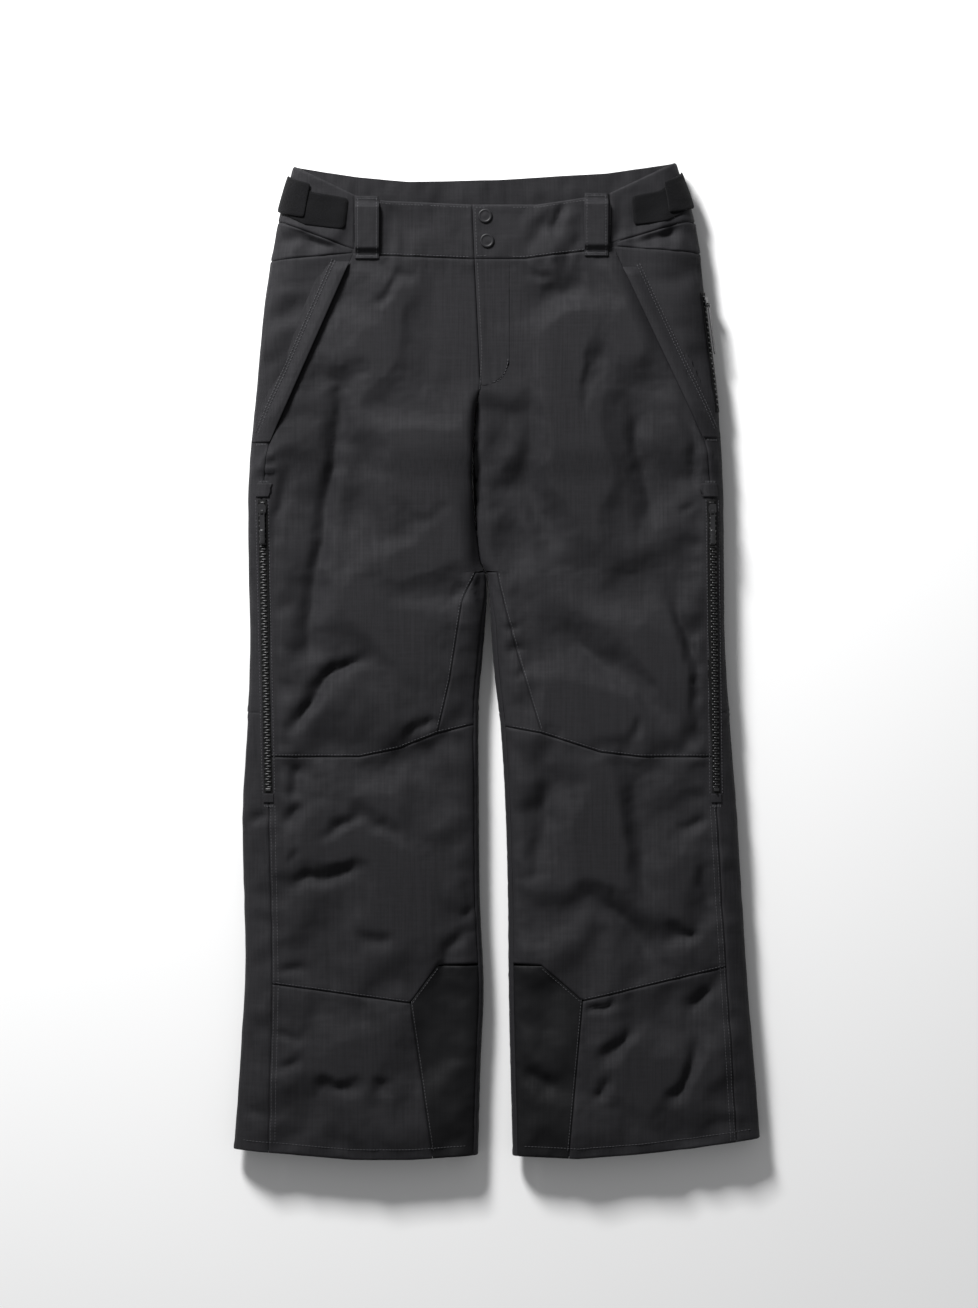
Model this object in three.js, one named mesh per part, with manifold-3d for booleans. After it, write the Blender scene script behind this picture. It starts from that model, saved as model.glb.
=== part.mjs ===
// Ski pants, closed and laid flat on their back: +X to the viewer's right, +Y toward the waist, +Z up.
// Every cloth panel is a slab cut from one shared garment surface, with a small gap at each seam.
// Heights (y) in the tables are measured from the middle of the garment's length.
import * as THREE from 'three';
import Module from 'manifold-3d';

const wasm = await Module();
wasm.setup();

// ---------------------------------------------------------------- driving dimensions, mm
const LENGTH = 1050; // waist corner to hem
const WIDTH = 556; // hem to hem
const TRUNK_DEPTH = 34; // thickness of the trunk as it lies
const LEG_DEPTH = 30; // thickness of each leg as it lies
const FABRIC = 2; // shell, membrane and lining together
const SEAM = 0.4; // gap between neighbouring panels
const CROSS_SEAM = 0.6; // gap at the seams that run across a leg
const SEAT = 0.3; // clearance under a piece that lies on another
const EDGE_ROUND = 30; // reach of the rounded outer edge at the trunk
const INSEAM_ROUND = 26; // reach of the rounded inner edge of a leg
const KNEE_FOLD = -150; // height of the line where the knees fold
const FLY_HINGE = 12; // the fly flap turns about a line this far right of the middle

const BAND_LOOP = { width: 25, height: 66, gap: 5, strap: 1.6, foot: 6, rise: 6 };
const SNAP = { diameter: 15, thick: 2, post: 4.4, hole: 5.2, flange: 11, flangeThick: 1.5, ball: 4 };
const TAPE = { width: 8, thick: 1.4 }; // a closed zip, tape and teeth, as one ribbon
const SLIDER = { width: 8, length: 11, plate: 1.2, arch: 2.5 };
const PULL = { width: 5, thick: 1, bar: 1, slot: 2.5 };
const VENT_PULL = 34; // length of a vent pull from its pivot
const POCKET_PULL = 18; // length of a covered pull
const THIGH_PULL = 52; // length of the thigh pocket's pull
const FLAP = { width: 14, foot: 4, thick: 1.2 };
const PATCH = 1.4; // thickness of hook-and-loop
const GARAGE = { width: 13, height: 14, thick: 1.3 };

const KX = WIDTH / 556, KY = LENGTH / 1050; // the tables below are for the standard size
const HARDWARE = 0x2e2e31, CLOTH = 0x343437, DARK = 0x1a1a1c;

// ---------------------------------------------------------------- curves
const mix = (a, b, t) => a + (b - a) * t;
const smooth = (a, b, v) => THREE.MathUtils.smoothstep(v, Math.min(a, b), Math.max(a, b));

// A smooth curve through [key, value] points, straight beyond its ends.
function curve(points, kKey, kValue, straight = false) {
  const p = points.map(([k, v]) => [k * kKey, v * kValue]).sort((a, b) => a[0] - b[0]);
  const slope = p.map((_, i) => {
    const a = p[Math.max(0, i - 1)], b = p[Math.min(p.length - 1, i + 1)];
    return (b[1] - a[1]) / (b[0] - a[0]);
  });
  return (k) => {
    let i = 0;
    while (i < p.length - 2 && k > p[i + 1][0]) i++;
    const [k0, v0] = p[i], [k1, v1] = p[i + 1], h = k1 - k0, t = (k - k0) / h;
    if (straight || t < 0 || t > 1) return mix(v0, v1, t);
    const s = t * t * (3 - 2 * t);
    return mix(v0, v1, s) + h * t * (1 - t) * (slope[i] * (1 - t) - slope[i + 1] * t);
  };
}
const byY = (points) => curve(points, KY, KX); // smooth edge: [y, x]
const seamY = (points) => curve(points, KY, KX, true); // straight runs: [y, x]
const seamX = (points) => curve(points, KX, KY, true); // cross seam: [x, y]

// ---------------------------------------------------------------- the laid-flat outline
const middle = [[525, -13], [425, -13], [290, -18], [270, -22], [190, -26], [106, -18]];
const left = {
  dir: -1,
  outer: byY([[521, -215], [485, -226], [443, -235], [380, -245], [275, -255], [190, -262.5],
    [106, -262.5], [22, -261], [-62, -263.5], [-167, -269], [-315, -266], [-399, -270], [-514, -278]]),
  inner: byY([...middle.map(([y, x]) => [y, x - 0.2]), [90, -12.8], [55, -12], [1, -16], [-41, -19.5],
    [-146, -19.5], [-251, -18.5], [-345, -14.5], [-420, -17.5], [-520, -20.5]]),
  side: seamY([[429, -152], [426, -153], [227, -241], [172, -248], [-150, -240.6], [-340, -237],
    [-514, -241]]),
  front: seamY([[-76, -63], [-20, -50], [64, -37], [94, -24], [98, 40], [290, 40], [292, -17.6],
    [300, -18.6], [368, -21.9], [423, -24.6]]),
  knee: seamX([[-20, -66], [-63, -76], [-103, -92], [-145, -101], [-270, -101]]),
  shin: seamX([[-10, -318], [-63, -320], [-92, -360], [-237, -340], [-280, -334]]),
  scuff: seamY([[-320, -63], [-360, -92], [-525, -68]]),
  scuffLow: seamY([[-360, -92], [-525, -68]]),
  hem: seamX([[-280, -514], [-153, -525], [-90, -525], [-16, -520]]),
  seat: seamX([[-152, 429], [-239, 421], [-250, 421]]),
  bandLow: seamX([[-152, 433], [-228, 462], [-240, 462]]),
  bandEnd: -150.5,
};
const right = {
  dir: 1,
  outer: byY([[525, 188], [506, 195], [485, 202.5], [443, 212], [380, 219], [275, 232], [190, 238],
    [106, 239], [22, 240], [-62, 245], [-167, 253], [-251, 258], [-357, 265], [-462, 274], [-510, 277]]),
  inner: byY([...middle.map(([y, x]) => [y, x + 0.2]), [90, -10], [64, -8], [22, -6], [-20, -2.6],
    [-62, 2.6], [-146, 8], [-251, 11], [-357, 12], [-520, 16]]),
  side: seamY([[436, 122], [420, 129], [232, 218], [227, 219], [172, 226], [-150, 230.3],
    [-251, 236], [-340, 242], [-504, 252]]),
  front: seamY([[-76, 46], [-20, 29], [64, 5], [94, -2], [98, -60], [286, -60], [292, -3.6],
    [300, 6.4], [312, FLY_HINGE / KX + SEAM], [430, FLY_HINGE / KX + SEAM]]),
  knee: seamX([[8, -69], [46, -76], [108, -96], [150, -101], [255, -101]]),
  shin: seamX([[8, -318], [46, -320], [90, -358], [229, -325], [280, -313]]),
  scuff: seamY([[-320, 46], [-358, 90], [-525, 75]]),
  scuffLow: seamY([[-358, 90], [-525, 75]]),
  hem: seamX([[12, -521], [85, -524], [141, -520], [205, -513], [280, -502]]),
  seat: seamX([[123, 436], [216, 429], [230, 429]]),
  bandLow: seamX([[122, 440], [197, 462], [215, 462]]),
  bandEnd: 118.5,
};
const waistSeam = seamX([[-154, 429], [-118, 426], [-26, 422.5], [29, 423], [94, 431], [123, 436]]);
const frontTop = seamX([[-151, 490], [-118, 484], [-29, 480], [43, 480], [115, 491], [125, 494]]);
const backTop = seamX([[-214, 521], [-148, 511], [-93, 506], [0, 508], [115, 515], [187, 525]]);
const sideTopLeft = seamX([[-150, 490], [-215, 521], [-230, 521]]);
const sideTopRight = seamX([[118, 492], [188, 525], [200, 525]]);

// ---------------------------------------------------------------- the garment surface
const hipness = (y) => smooth(186 * KY, 227 * KY, y); // 0 on the leg, 1 on the trunk
const depth = (y) => mix(LEG_DEPTH, TRUNK_DEPTH, hipness(y));
const legness = (y) => 1 - smooth(100 * KY, 290 * KY, y); // 1 on a leg, 0 where both halves are one trunk

// Reach of the rounded outer edge. Down the leg it keeps the side zip on one level line.
function outerRound(s, y) {
  const leg = Math.abs(s.outer(y) - s.side(y)) / 0.8;
  return mix(leg, EDGE_ROUND, hipness(y));
}

// A point of the surface. u runs round a section: 0-1 rounded inner edge, 1-2 flat top, 2-3 rounded
// outer edge, 3-4, 4-5 and 5-6 the same on the underside, 6-7 the inner edge again. lift is outward.
function surface(s, u, y, lift = 0) {
  const v = u > 6 ? u - 6 : u, top = v <= 3, g = top ? v : 6 - v;
  const xi = s.inner(y), width = Math.abs(s.outer(y) - xi), wo = outerRound(s, y);
  const r = legness(y), half = depth(y) / 2;
  let d, sink, nx = 0, nz = 1;
  if (g < 1) {
    const a = g * Math.PI / 2;
    d = INSEAM_ROUND * (1 - Math.cos(a));
    sink = r * (1 - Math.sin(a));
    nx = -r * Math.cos(a);
    nz = 1 - r + r * Math.sin(a);
  } else if (g > 2) {
    const a = (3 - g) * Math.PI / 2;
    d = width - wo * (1 - Math.cos(a));
    sink = 1 - Math.sin(a);
    nx = Math.cos(a);
    nz = Math.sin(a);
  } else {
    d = mix(INSEAM_ROUND, width - wo, g - 1);
    sink = 0;
  }
  const n = lift / Math.hypot(nx, nz), up = top ? 1 : -1;
  return [xi + s.dir * (d + nx * n), y, half + up * (half * (1 - sink) + nz * n)];
}

// The u of a point on the top at x.
function uAt(s, x, y) {
  const width = Math.abs(s.outer(y) - s.inner(y)), wo = outerRound(s, y);
  const d = THREE.MathUtils.clamp((x - s.inner(y)) * s.dir, 0, width);
  if (d < INSEAM_ROUND) return Math.acos(1 - d / INSEAM_ROUND) / (Math.PI / 2);
  if (d > width - wo) return 3 - Math.acos(1 - (width - d) / wo) / (Math.PI / 2);
  return 1 + (d - INSEAM_ROUND) / (width - wo - INSEAM_ROUND);
}

// u moved by a distance measured along the surface, outward for a positive distance.
function along(s, u, y, distance) {
  let v = u;
  for (let i = 0; i < 8; i++) {
    const a = surface(s, v - 0.004, y), b = surface(s, v + 0.004, y);
    v += distance / 8 / Math.max(8, Math.hypot(b[0] - a[0], b[2] - a[2]) / 0.008);
  }
  return v;
}

// ---------------------------------------------------------------- solids from grids
function solid(vertices, faces) {
  const p = new Float32Array(vertices.flat());
  let volume = 0;
  const v = (i) => new THREE.Vector3().fromArray(p, 3 * i);
  for (const [a, b, c] of faces) volume += v(a).dot(v(b).cross(v(c)));
  const g = new THREE.BufferGeometry();
  g.setAttribute('position', new THREE.BufferAttribute(p, 3));
  g.setIndex(faces.flatMap(([a, b, c]) => (volume > 0 ? [a, b, c] : [a, c, b])));
  return g;
}

// A slab between two grids of points, grid[row][column].
function slab(outside, inside) {
  const rows = outside.length, cols = outside[0].length, n = rows * cols, faces = [];
  const at = (k, i, j) => k * n + i * cols + j;
  const quad = (a, b, c, d) => faces.push([a, b, c], [a, c, d]);
  for (let i = 0; i < rows - 1; i++) {
    for (let j = 0; j < cols - 1; j++) {
      quad(at(0, i, j), at(0, i, j + 1), at(0, i + 1, j + 1), at(0, i + 1, j));
      quad(at(1, i, j), at(1, i + 1, j), at(1, i + 1, j + 1), at(1, i, j + 1));
    }
  }
  for (let i = 0; i < rows - 1; i++) {
    quad(at(0, i, 0), at(0, i + 1, 0), at(1, i + 1, 0), at(1, i, 0));
    quad(at(0, i, cols - 1), at(1, i, cols - 1), at(1, i + 1, cols - 1), at(0, i + 1, cols - 1));
  }
  for (let j = 0; j < cols - 1; j++) {
    quad(at(0, 0, j), at(1, 0, j), at(1, 0, j + 1), at(0, 0, j + 1));
    quad(at(0, rows - 1, j), at(0, rows - 1, j + 1), at(1, rows - 1, j + 1), at(1, rows - 1, j));
  }
  return solid([...outside.flat(), ...inside.flat()], faces);
}

// Columns of a panel: each is (y) => [side, u]. anchors are u functions of y, counts the steps between.
function columns(s, anchors, counts) {
  const list = [];
  anchors.slice(1).forEach((next, i) => {
    for (let k = i ? 1 : 0; k <= counts[i]; k++) {
      list.push((y) => [s, mix(anchors[i](y), next(y), k / counts[i])]);
    }
  });
  return list;
}

// A cloth panel. rows are heights, of which the first and last bend to the seams low and high.
function panel(cols, rows, low, high, lifts = [-FABRIC, 0]) {
  const y0 = rows[0], y1 = rows.at(-1), reach = Math.min(60 * KY, y1 - y0);
  const grid = (lift) => rows.map((row) => cols.map((col) => {
    let y = row;
    for (let k = 0; k < 4; k++) {
      const [s, u] = col(y), x = surface(s, u, y)[0];
      y = row;
      if (low) y += (low(x, u, s) - y0) * Math.max(0, 1 - (row - y0) / reach);
      if (high) y += (high(x, u, s) - y1) * Math.max(0, 1 - (y1 - row) / reach);
    }
    const [s, u] = col(y);
    return surface(s, u, y, lift);
  }));
  return slab(grid(lifts[1]), grid(lifts[0]));
}

// A strip swept over the surface: path(t) gives [x, y], profile is a closed loop of [across, lift].
function strip(s, path, profile, steps) {
  const n = profile.length, vertices = [], faces = [];
  for (let i = 0; i <= steps; i++) {
    const [x, y] = path(i / steps), u = uAt(s, x, y);
    for (const [across, lift] of profile) vertices.push(surface(s, along(s, u, y, across), y, lift));
  }
  for (let i = 0; i < steps; i++) {
    for (let j = 0; j < n; j++) {
      const a = i * n + j, b = i * n + (j + 1) % n;
      faces.push([a, b, b + n], [a, b + n, a + n]);
    }
  }
  const cap = THREE.ShapeUtils.triangulateShape(profile.map((p) => new THREE.Vector2(...p)), []);
  const flip = THREE.ShapeUtils.isClockWise(profile.map((p) => new THREE.Vector2(...p)));
  for (const [a, b, c] of cap) {
    const [p, q] = flip ? [b, c] : [c, b];
    faces.push([a, p, q], [steps * n + a, steps * n + q, steps * n + p]);
  }
  return solid(vertices, faces);
}

const line = (a, b) => (t) => [mix(a[0], b[0], t), mix(a[1], b[1], t)];
const ribbon = (width, low, high, steps = 1) => {
  const across = (k) => mix(-width / 2, width / 2, k / steps);
  const ks = [...Array(steps + 1).keys()];
  return [...ks.map((k) => [across(k), low]), ...ks.reverse().map((k) => [across(k), high])];
};

// A prism: an outline in two axes, pulled along the third.
function prism(points, length, holes = []) {
  const outline = points.map((p) => new THREE.Vector2(...p));
  const shape = new THREE.Shape(THREE.ShapeUtils.isClockWise(outline) ? outline.reverse() : outline);
  shape.holes = holes;
  return new THREE.ExtrudeGeometry(shape, { depth: length, bevelEnabled: false, curveSegments: 10 });
}
// The outline lies in Y and Z, and is pulled along X.
const prismX = (points, length) => prism(points, length).applyMatrix4(
  new THREE.Matrix4().set(0, 0, 1, 0, 1, 0, 0, 0, 0, 1, 0, 0, 0, 0, 0, 1));
// The outline lies in X and Z, and is pulled along Y.
const prismY = (points, length) => prism(points.map(([x, z]) => [z, x]), length).applyMatrix4(
  new THREE.Matrix4().set(0, 1, 0, 0, 0, 0, 1, 0, 1, 0, 0, 0, 0, 0, 0, 1));

function toManifold(geometry) {
  const p = geometry.attributes.position, seen = new Map(), verts = [], tris = [];
  const count = geometry.index ? geometry.index.count : p.count;
  for (let i = 0; i < count; i++) {
    const k = geometry.index ? geometry.index.getX(i) : i;
    const v = [p.getX(k), p.getY(k), p.getZ(k)], key = v.map((c) => Math.round(c * 1e4)).join();
    if (!seen.has(key)) {
      seen.set(key, verts.length / 3);
      verts.push(...v);
    }
    tris.push(seen.get(key));
  }
  const mesh = new wasm.Mesh({
    numProp: 3, vertProperties: new Float32Array(verts), triVerts: new Uint32Array(tris),
  });
  return new wasm.Manifold(mesh);
}
function fromManifold(m) {
  const { vertProperties, triVerts } = m.getMesh(), g = new THREE.BufferGeometry();
  g.setAttribute('position', new THREE.BufferAttribute(Float32Array.from(vertProperties), 3));
  g.setIndex([...triVerts]);
  return g;
}
const join = (a, b) => fromManifold(toManifold(a).add(toManifold(b)));
const cut = (a, b) => fromManifold(toManifold(a).subtract(toManifold(b)));

// ---------------------------------------------------------------- scene graph
const lay = new THREE.Group();
function add(name, geometry, color, roughness = 0.85, metalness = 0) {
  geometry.deleteAttribute('normal');
  geometry.deleteAttribute('uv');
  geometry.computeVertexNormals();
  const mesh = new THREE.Mesh(geometry, new THREE.MeshStandardMaterial({ color, roughness, metalness }));
  mesh.name = name;
  lay.add(mesh);
  return mesh;
}
const cloth = (name, geometry) => add(name, geometry, CLOTH);
const darkCloth = (name, geometry) => add(name, geometry, DARK, 0.95);
const hardware = (name, geometry) => add(name, geometry, HARDWARE, 0.5);

// ---------------------------------------------------------------- panels
const yk = (list) => list.map((y) => y * KY);
const flat = (u) => () => u;
const gapped = (s, u, distance) => (y) => along(s, u(y), y, distance);
const seamAt = (s, table) => (y) => uAt(s, table(y), y);
const shifted = (table, gap) => (x) => table(x) + gap;
const inseamTable = curve([[-600, 0.4], [40, 0.4], [94, 0.05], [100, 0], [600, 0]], KY, 1, true);

function legPanels(s, name) {
  const half = SEAM / 2, cross = CROSS_SEAM / 2;
  const side = seamAt(s, s.side), sideIn = gapped(s, side, -half), sideOut = gapped(s, side, half);
  const front = seamAt(s, s.front), frontOut = gapped(s, front, half);
  const inseam = gapped(s, inseamTable, half);
  const inseamBack = (y) => {
    const u = inseamTable(y);
    return u > 0 ? 6 + along(s, u, y, -half) : along(s, 5.99, y, -half);
  };
  const under = columns(s, [sideOut, flat(3), flat(4), flat(5), inseamBack], [3, 3, 2, 4]);
  const fold = KNEE_FOLD * KY;
  const trunkRows = [130, 172, 186, 206, 227, 260, 286, 292, 300, 312, 340, 380, 426];
  const outsideOnly = (table, x, u) => (u < 3 ? table(x) : table(s.outer(table(x))));

  cloth(`front_thigh_panel_${name}`, panel(columns(s, [frontOut, sideIn], [8]),
    yk([-85, -45, -20, 22, 64, 94, 98, ...trunkRows]), shifted(s.knee, cross), shifted(waistSeam, -half)));
  cloth(`inner_thigh_gusset_${name}`, panel(columns(s, [inseam, gapped(s, front, -half)], [4]),
    yk([-72, -45, -20, 22, 64, 93.4]), shifted(s.knee, cross)));
  const kneeCols = (table) => columns(s, [inseam, seamAt(s, table), sideIn], [3, 8]);
  cloth(`knee_panel_upper_${name}`, panel(kneeCols(() => s.front(-76 * KY)),
    [fold + half, ...yk([-118, -85])], null, shifted(s.knee, -cross)));
  const corners = [-320, s === left ? -360 : -358].map((y) => s.scuff(y * KY));
  cloth(`knee_panel_lower_${name}`, panel(
    columns(s, [inseam, ...corners.map((x) => seamAt(s, () => x)), sideIn], [2, 2, 6]),
    [...yk([-342, -300, -250, -200]), fold - half], shifted(s.shin, cross)));
  const scuffSeam = seamAt(s, s.scuff), shinSeam = seamAt(s, s.scuffLow);
  cloth(`shin_panel_${name}`, panel(columns(s, [gapped(s, shinSeam, half), sideIn], [7]),
    yk([-520, -480, -440, -400, -345]), s.hem, shifted(s.shin, -cross)));
  add(`scuff_patch_${name}`, panel(columns(s, [inseam, gapped(s, scuffSeam, -half)], [5]),
    yk([-522, -480, -440, -400, s === left ? -360 : -358, -340, -320.8]), s.hem), DARK, 0.7);
  cloth(`back_thigh_panel_${name}`, panel(under,
    yk([-54, -20, 22, 64, 94, 98, ...trunkRows]),
    null, (x, u) => outsideOnly(s.seat, x, u) - half));
  cloth(`back_knee_panel_${name}`, panel(under, [fold + half, ...yk([-140, -100]), -54 * KY - SEAM]));
  cloth(`back_calf_panel_${name}`, panel(under,
    [...yk([-520, -480, -440, -400, -370, -340, -300, -251, -200]), fold - half], s.hem));
  cloth(`back_yoke_${name}`, panel(
    columns(s, [gapped(s, (y) => uAt(s, s.side(429 * KY), y), 1), flat(3), flat(4), flat(6)], [6, 3, 3]),
    yk([425, 440, 458]), (x, u) => outsideOnly(s.seat, x, u) + half,
    (x, u) => outsideOnly(s.bandLow, x, u) - cross));
}

// ---------------------------------------------------------------- waistband
const overlapEdge = seamY([[480, -26.4], [423, -24.2], [368, -21.5], [300, -18.2], [291, -17.2]]);

function waistband() {
  const half = SEAM / 2, rows = yk([426, 446, 466, 484]);
  const end = (s, gap) => (y) => uAt(s, s.bandEnd * KX + gap, y);
  const edge = (y) => uAt(left, overlapEdge(y) - SEAM, y);
  cloth('waistband_front_left', panel(columns(left, [edge, end(left, half)], [6]), rows,
    shifted(waistSeam, half), frontTop));
  cloth('waistband_front_right', panel(
    columns(right, [(y) => uAt(right, FLY_HINGE + SEAM, y), end(right, -half)], [6]), rows,
    shifted(waistSeam, half), frontTop));
  const half2 = (s) => columns(s, [end(s, s.dir * half), flat(3), flat(4), flat(6)], [6, 3, 3]);
  const cols = [...half2(left), ...half2(right).reverse().slice(1)];
  const low = (x, u, s) => (u < 3 ? s.bandLow(x) : s.bandLow(s.outer(462 * KY))) + CROSS_SEAM / 2;
  const high = (x, u, s) => (u < 3 ? (s === left ? sideTopLeft : sideTopRight)(x) : backTop(x));
  cloth('waistband_back', panel(cols, yk([460, 480, 500, 520]), low, high));
}

function beltLoop(name, x, y) {
  const { width, height, gap, strap, foot, rise } = BAND_LOOP, h = height / 2, z = SEAT;
  const points = [[-h, z], [foot - h, z], [foot + rise - h, gap + z], [h - foot - rise, gap + z],
    [h - foot, z], [h, z], [h, z + strap], [h - foot + strap / 2, z + strap],
    [h - foot - rise + strap / 2, gap + z + strap], [foot + rise - h - strap / 2, gap + z + strap],
    [foot - h - strap / 2, z + strap], [-h, z + strap]];
  const g = prismX(points, width).translate(x * KX - width / 2, y * KY, TRUNK_DEPTH);
  cloth(name, g);
}

// Hook-and-loop: the wide loop patch, and the tab end that lies over its outer part.
function quadPatch(s, corners, steps, lifts) {
  const grid = (lift) => [...Array(steps[1] + 1).keys()].map((i) => [...Array(steps[0] + 1).keys()].map((j) => {
    const a = j / steps[0], b = i / steps[1];
    const [u, y] = [0, 1].map((k) => mix(mix(corners[0][k], corners[1][k], a),
      mix(corners[3][k], corners[2][k], a), b));
    return surface(s, u, y, lift);
  }));
  return slab(grid(lifts[1]), grid(lifts[0]));
}
const atXY = (s, x, y) => [uAt(s, x * KX, y * KY), y * KY];
const tabLift = SEAT + PATCH + 0.5;
const patchShape = {
  left: [[-160, 453], [2.78, 475], [2.78, 511], [-156, 487]],
  right: [[143, 458], [2.78, 479], [2.78, 515], [141, 489]],
};
const tabShape = {
  left: [[-203, 466], [2.97, 474], [2.97, 512], [-196, 502]],
  right: [[180, 471], [2.97, 478], [2.97, 516], [174, 504]],
};
function adjuster(s, name) {
  const corner = ([a, y]) => (Math.abs(a) < 4 ? [a, y * KY] : atXY(s, a, y));
  darkCloth(`loop_patch_${name}`, quadPatch(s, patchShape[name].map(corner), [7, 2], [SEAT, SEAT + PATCH]));
  darkCloth(`hook_tab_${name}`, quadPatch(s, tabShape[name].map(corner), [8, 3], [tabLift, tabLift + PATCH]));
}

// ---------------------------------------------------------------- fly
const TOP = TRUNK_DEPTH, UNDER = TRUNK_DEPTH - FABRIC; // outer and inner face of the front at the fly
const SNAPS = [[-13, 468], [-11, 442]];
const zipX = -9; // the middle of the fly zip

function flyFlap() {
  const edge = [480, 460, 440, 423.2].map((y) => [overlapEdge(y * KY), y * KY]);
  const holes = SNAPS.map(([x, y]) => new THREE.Path().absarc(x, y * KY, SNAP.hole / 2, 0, 2 * Math.PI));
  const band = [...edge, [FLY_HINGE, 423.2 * KY], [FLY_HINGE, 480 * KY]];
  cloth('waistband_overlap', prism(band, FABRIC, holes).translate(0, 0, UNDER));
  const free = [422.4, 395, 368, 340, 315, 300, 293].map((y) => [overlapEdge(y * KY), y * KY]);
  const toe = [[-14.5, 290], [-9, 290.6], [-3.6, 293.6], [2.4, 297.4], [7, 303]].map(([x, y]) => [x * KX, y * KY]);
  cloth('fly_cover', prism([...free, ...toe, [FLY_HINGE, 315 * KY], [FLY_HINGE, 422.4 * KY]], FABRIC)
    .translate(0, 0, UNDER));
  SNAPS.forEach(([x, y], i) => {
    const r = SNAP.diameter / 2, z0 = UNDER - SEAT - SNAP.flangeThick;
    const cap = [[0, z0], [SNAP.flange / 2, z0], [SNAP.flange / 2, UNDER - SEAT], [SNAP.post / 2, UNDER - SEAT],
      [SNAP.post / 2, TOP + SEAT], [r, TOP + SEAT], [r, TOP + SEAT + 1], [r - 1, TOP + SEAT + SNAP.thick - 0.3],
      [r - 3, TOP + SEAT + SNAP.thick], [0, TOP + SEAT + SNAP.thick]];
    const base = UNDER - 5 + SEAT, b = SNAP.ball / 2;
    const stud = [[0, base], [4.5, base], [4.5, base + 0.8], [b - 0.5, base + 0.8], [b, base + 1.6],
      [b - 0.4, base + 2.5], [0, base + 2.6]];
    for (const [kind, profile] of [['cap', cap], ['stud', stud]]) {
      const g = new THREE.LatheGeometry(profile.map((p) => new THREE.Vector2(...p)), 20);
      g.rotateX(Math.PI / 2).translate(x, y * KY, 0);
      hardware(`snap_${kind}_${i ? 'lower' : 'upper'}`, g);
    }
  });
}

function flyZip() {
  const low = UNDER - 5, y0 = 302 * KY, length = 118 * KY, t = 0.9, x = zipX;
  const tape = [[x - 35, UNDER - SEAT], [x - 23, UNDER - SEAT], [x - 8, low + SEAT + t], [x - 3, low + SEAT + t],
    [x - 3, low + SEAT + t + 0.8], [x + 3, low + SEAT + t + 0.8], [x + 3, low + SEAT + t],
    [x + 8, low + SEAT + t], [x + 19, UNDER - SEAT], [x + 31, UNDER - SEAT], [x + 31, UNDER - SEAT - t],
    [x + 19.5, UNDER - SEAT - t], [x + 8.5, low + SEAT], [x - 8.5, low + SEAT], [x - 23.5, UNDER - SEAT - t],
    [x - 35, UNDER - SEAT - t]];
  add('fly_zip_chain', prismY(tape, length).translate(0, y0, 0), DARK, 0.6);
  const under = UNDER - 2 * SEAT - t, lapThick = 1.2;
  const lap = [[x - 52, UNDER - SEAT], [x - 38, UNDER - SEAT], [x - 36, under], [x - 24, under],
    [x - 9, low], [x + 14, low], [x + 14, low - lapThick], [x - 9.3, low - lapThick],
    [x - 24.3, under - lapThick], [x - 36.4, under - lapThick], [x - 38.4, UNDER - SEAT - lapThick],
    [x - 52, UNDER - SEAT - lapThick]];
  cloth('fly_underlap', prismY(lap, 176 * KY).translate(0, 300 * KY, 0));
}

// ---------------------------------------------------------------- sliders and pulls
// Local frame: the zip runs along Y, the slider's underside is z = 0, the pull hangs toward -Y.
const PIVOT = { y: -3.2, z: SLIDER.plate + 0.9, pinY: -3.2 };

function sliderPlate() {
  const w = SLIDER.width / 2, h = SLIDER.length / 2;
  return prism([[-w + 1.4, -h], [w - 1.4, -h], [w, -h + 2.5], [w, h - 3], [w - 2, h], [-w + 2, h],
    [-w, h - 3], [-w, -h + 2.5]], SLIDER.plate);
}
function archedSlider() {
  const z = SLIDER.plate - 0.2, top = SLIDER.plate + SLIDER.arch, y = PIVOT.y;
  const arch = prismX([[y - 1.7, z], [y + 2.4, z], [y + 1.8, top - 0.5], [y + 1.1, top], [y - 1.1, top],
    [y - 1.7, top - 0.6]], 2.2).translate(-1.1, 0, 0);
  const eye = prismX([[y - 0.85, PIVOT.z - 0.85], [y + 0.85, PIVOT.z - 0.85], [y + 0.85, PIVOT.z + 0.85],
    [y - 0.85, PIVOT.z + 0.85]], 6).translate(-3, 0, 0);
  return cut(join(sliderPlate(), arch), eye);
}
function flippingPull(length) {
  const w = PULL.width / 2, y0 = PIVOT.y + PULL.bar / 2, end = PIVOT.y - length;
  const slot = new THREE.Path([[-1.5, y0 - PULL.bar], [1.5, y0 - PULL.bar], [1.5, y0 - PULL.bar - PULL.slot],
    [-1.5, y0 - PULL.bar - PULL.slot]].map((p) => new THREE.Vector2(...p)));
  const outline = [[-w, y0], [w, y0], [w, end + 1.6], [w - 1.6, end], [1.6 - w, end], [-w, end + 1.6]];
  return prism(outline, PULL.thick, [slot]).translate(0, 0, PIVOT.z - PULL.thick / 2);
}
function pinnedSlider() {
  const pin = new THREE.CylinderGeometry(0.8, 0.8, 1.6, 12).rotateX(Math.PI / 2);
  return join(sliderPlate(), pin.translate(0, PIVOT.pinY, SLIDER.plate + 0.6));
}
function swivelPull(length) {
  const y = PIVOT.pinY, end = y - length;
  const eye = new THREE.Path().absarc(0, y, 1.15, 0, 2 * Math.PI);
  const outline = [[-2, y + 1.6], [-1.2, y + 2.3], [1.2, y + 2.3], [2, y + 1.6], [2, end + 1], [1, end], [-1, end],
    [-2, end + 1]];
  return prism(outline, PULL.thick, [eye]).translate(0, 0, SLIDER.plate + SEAT);
}

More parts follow.
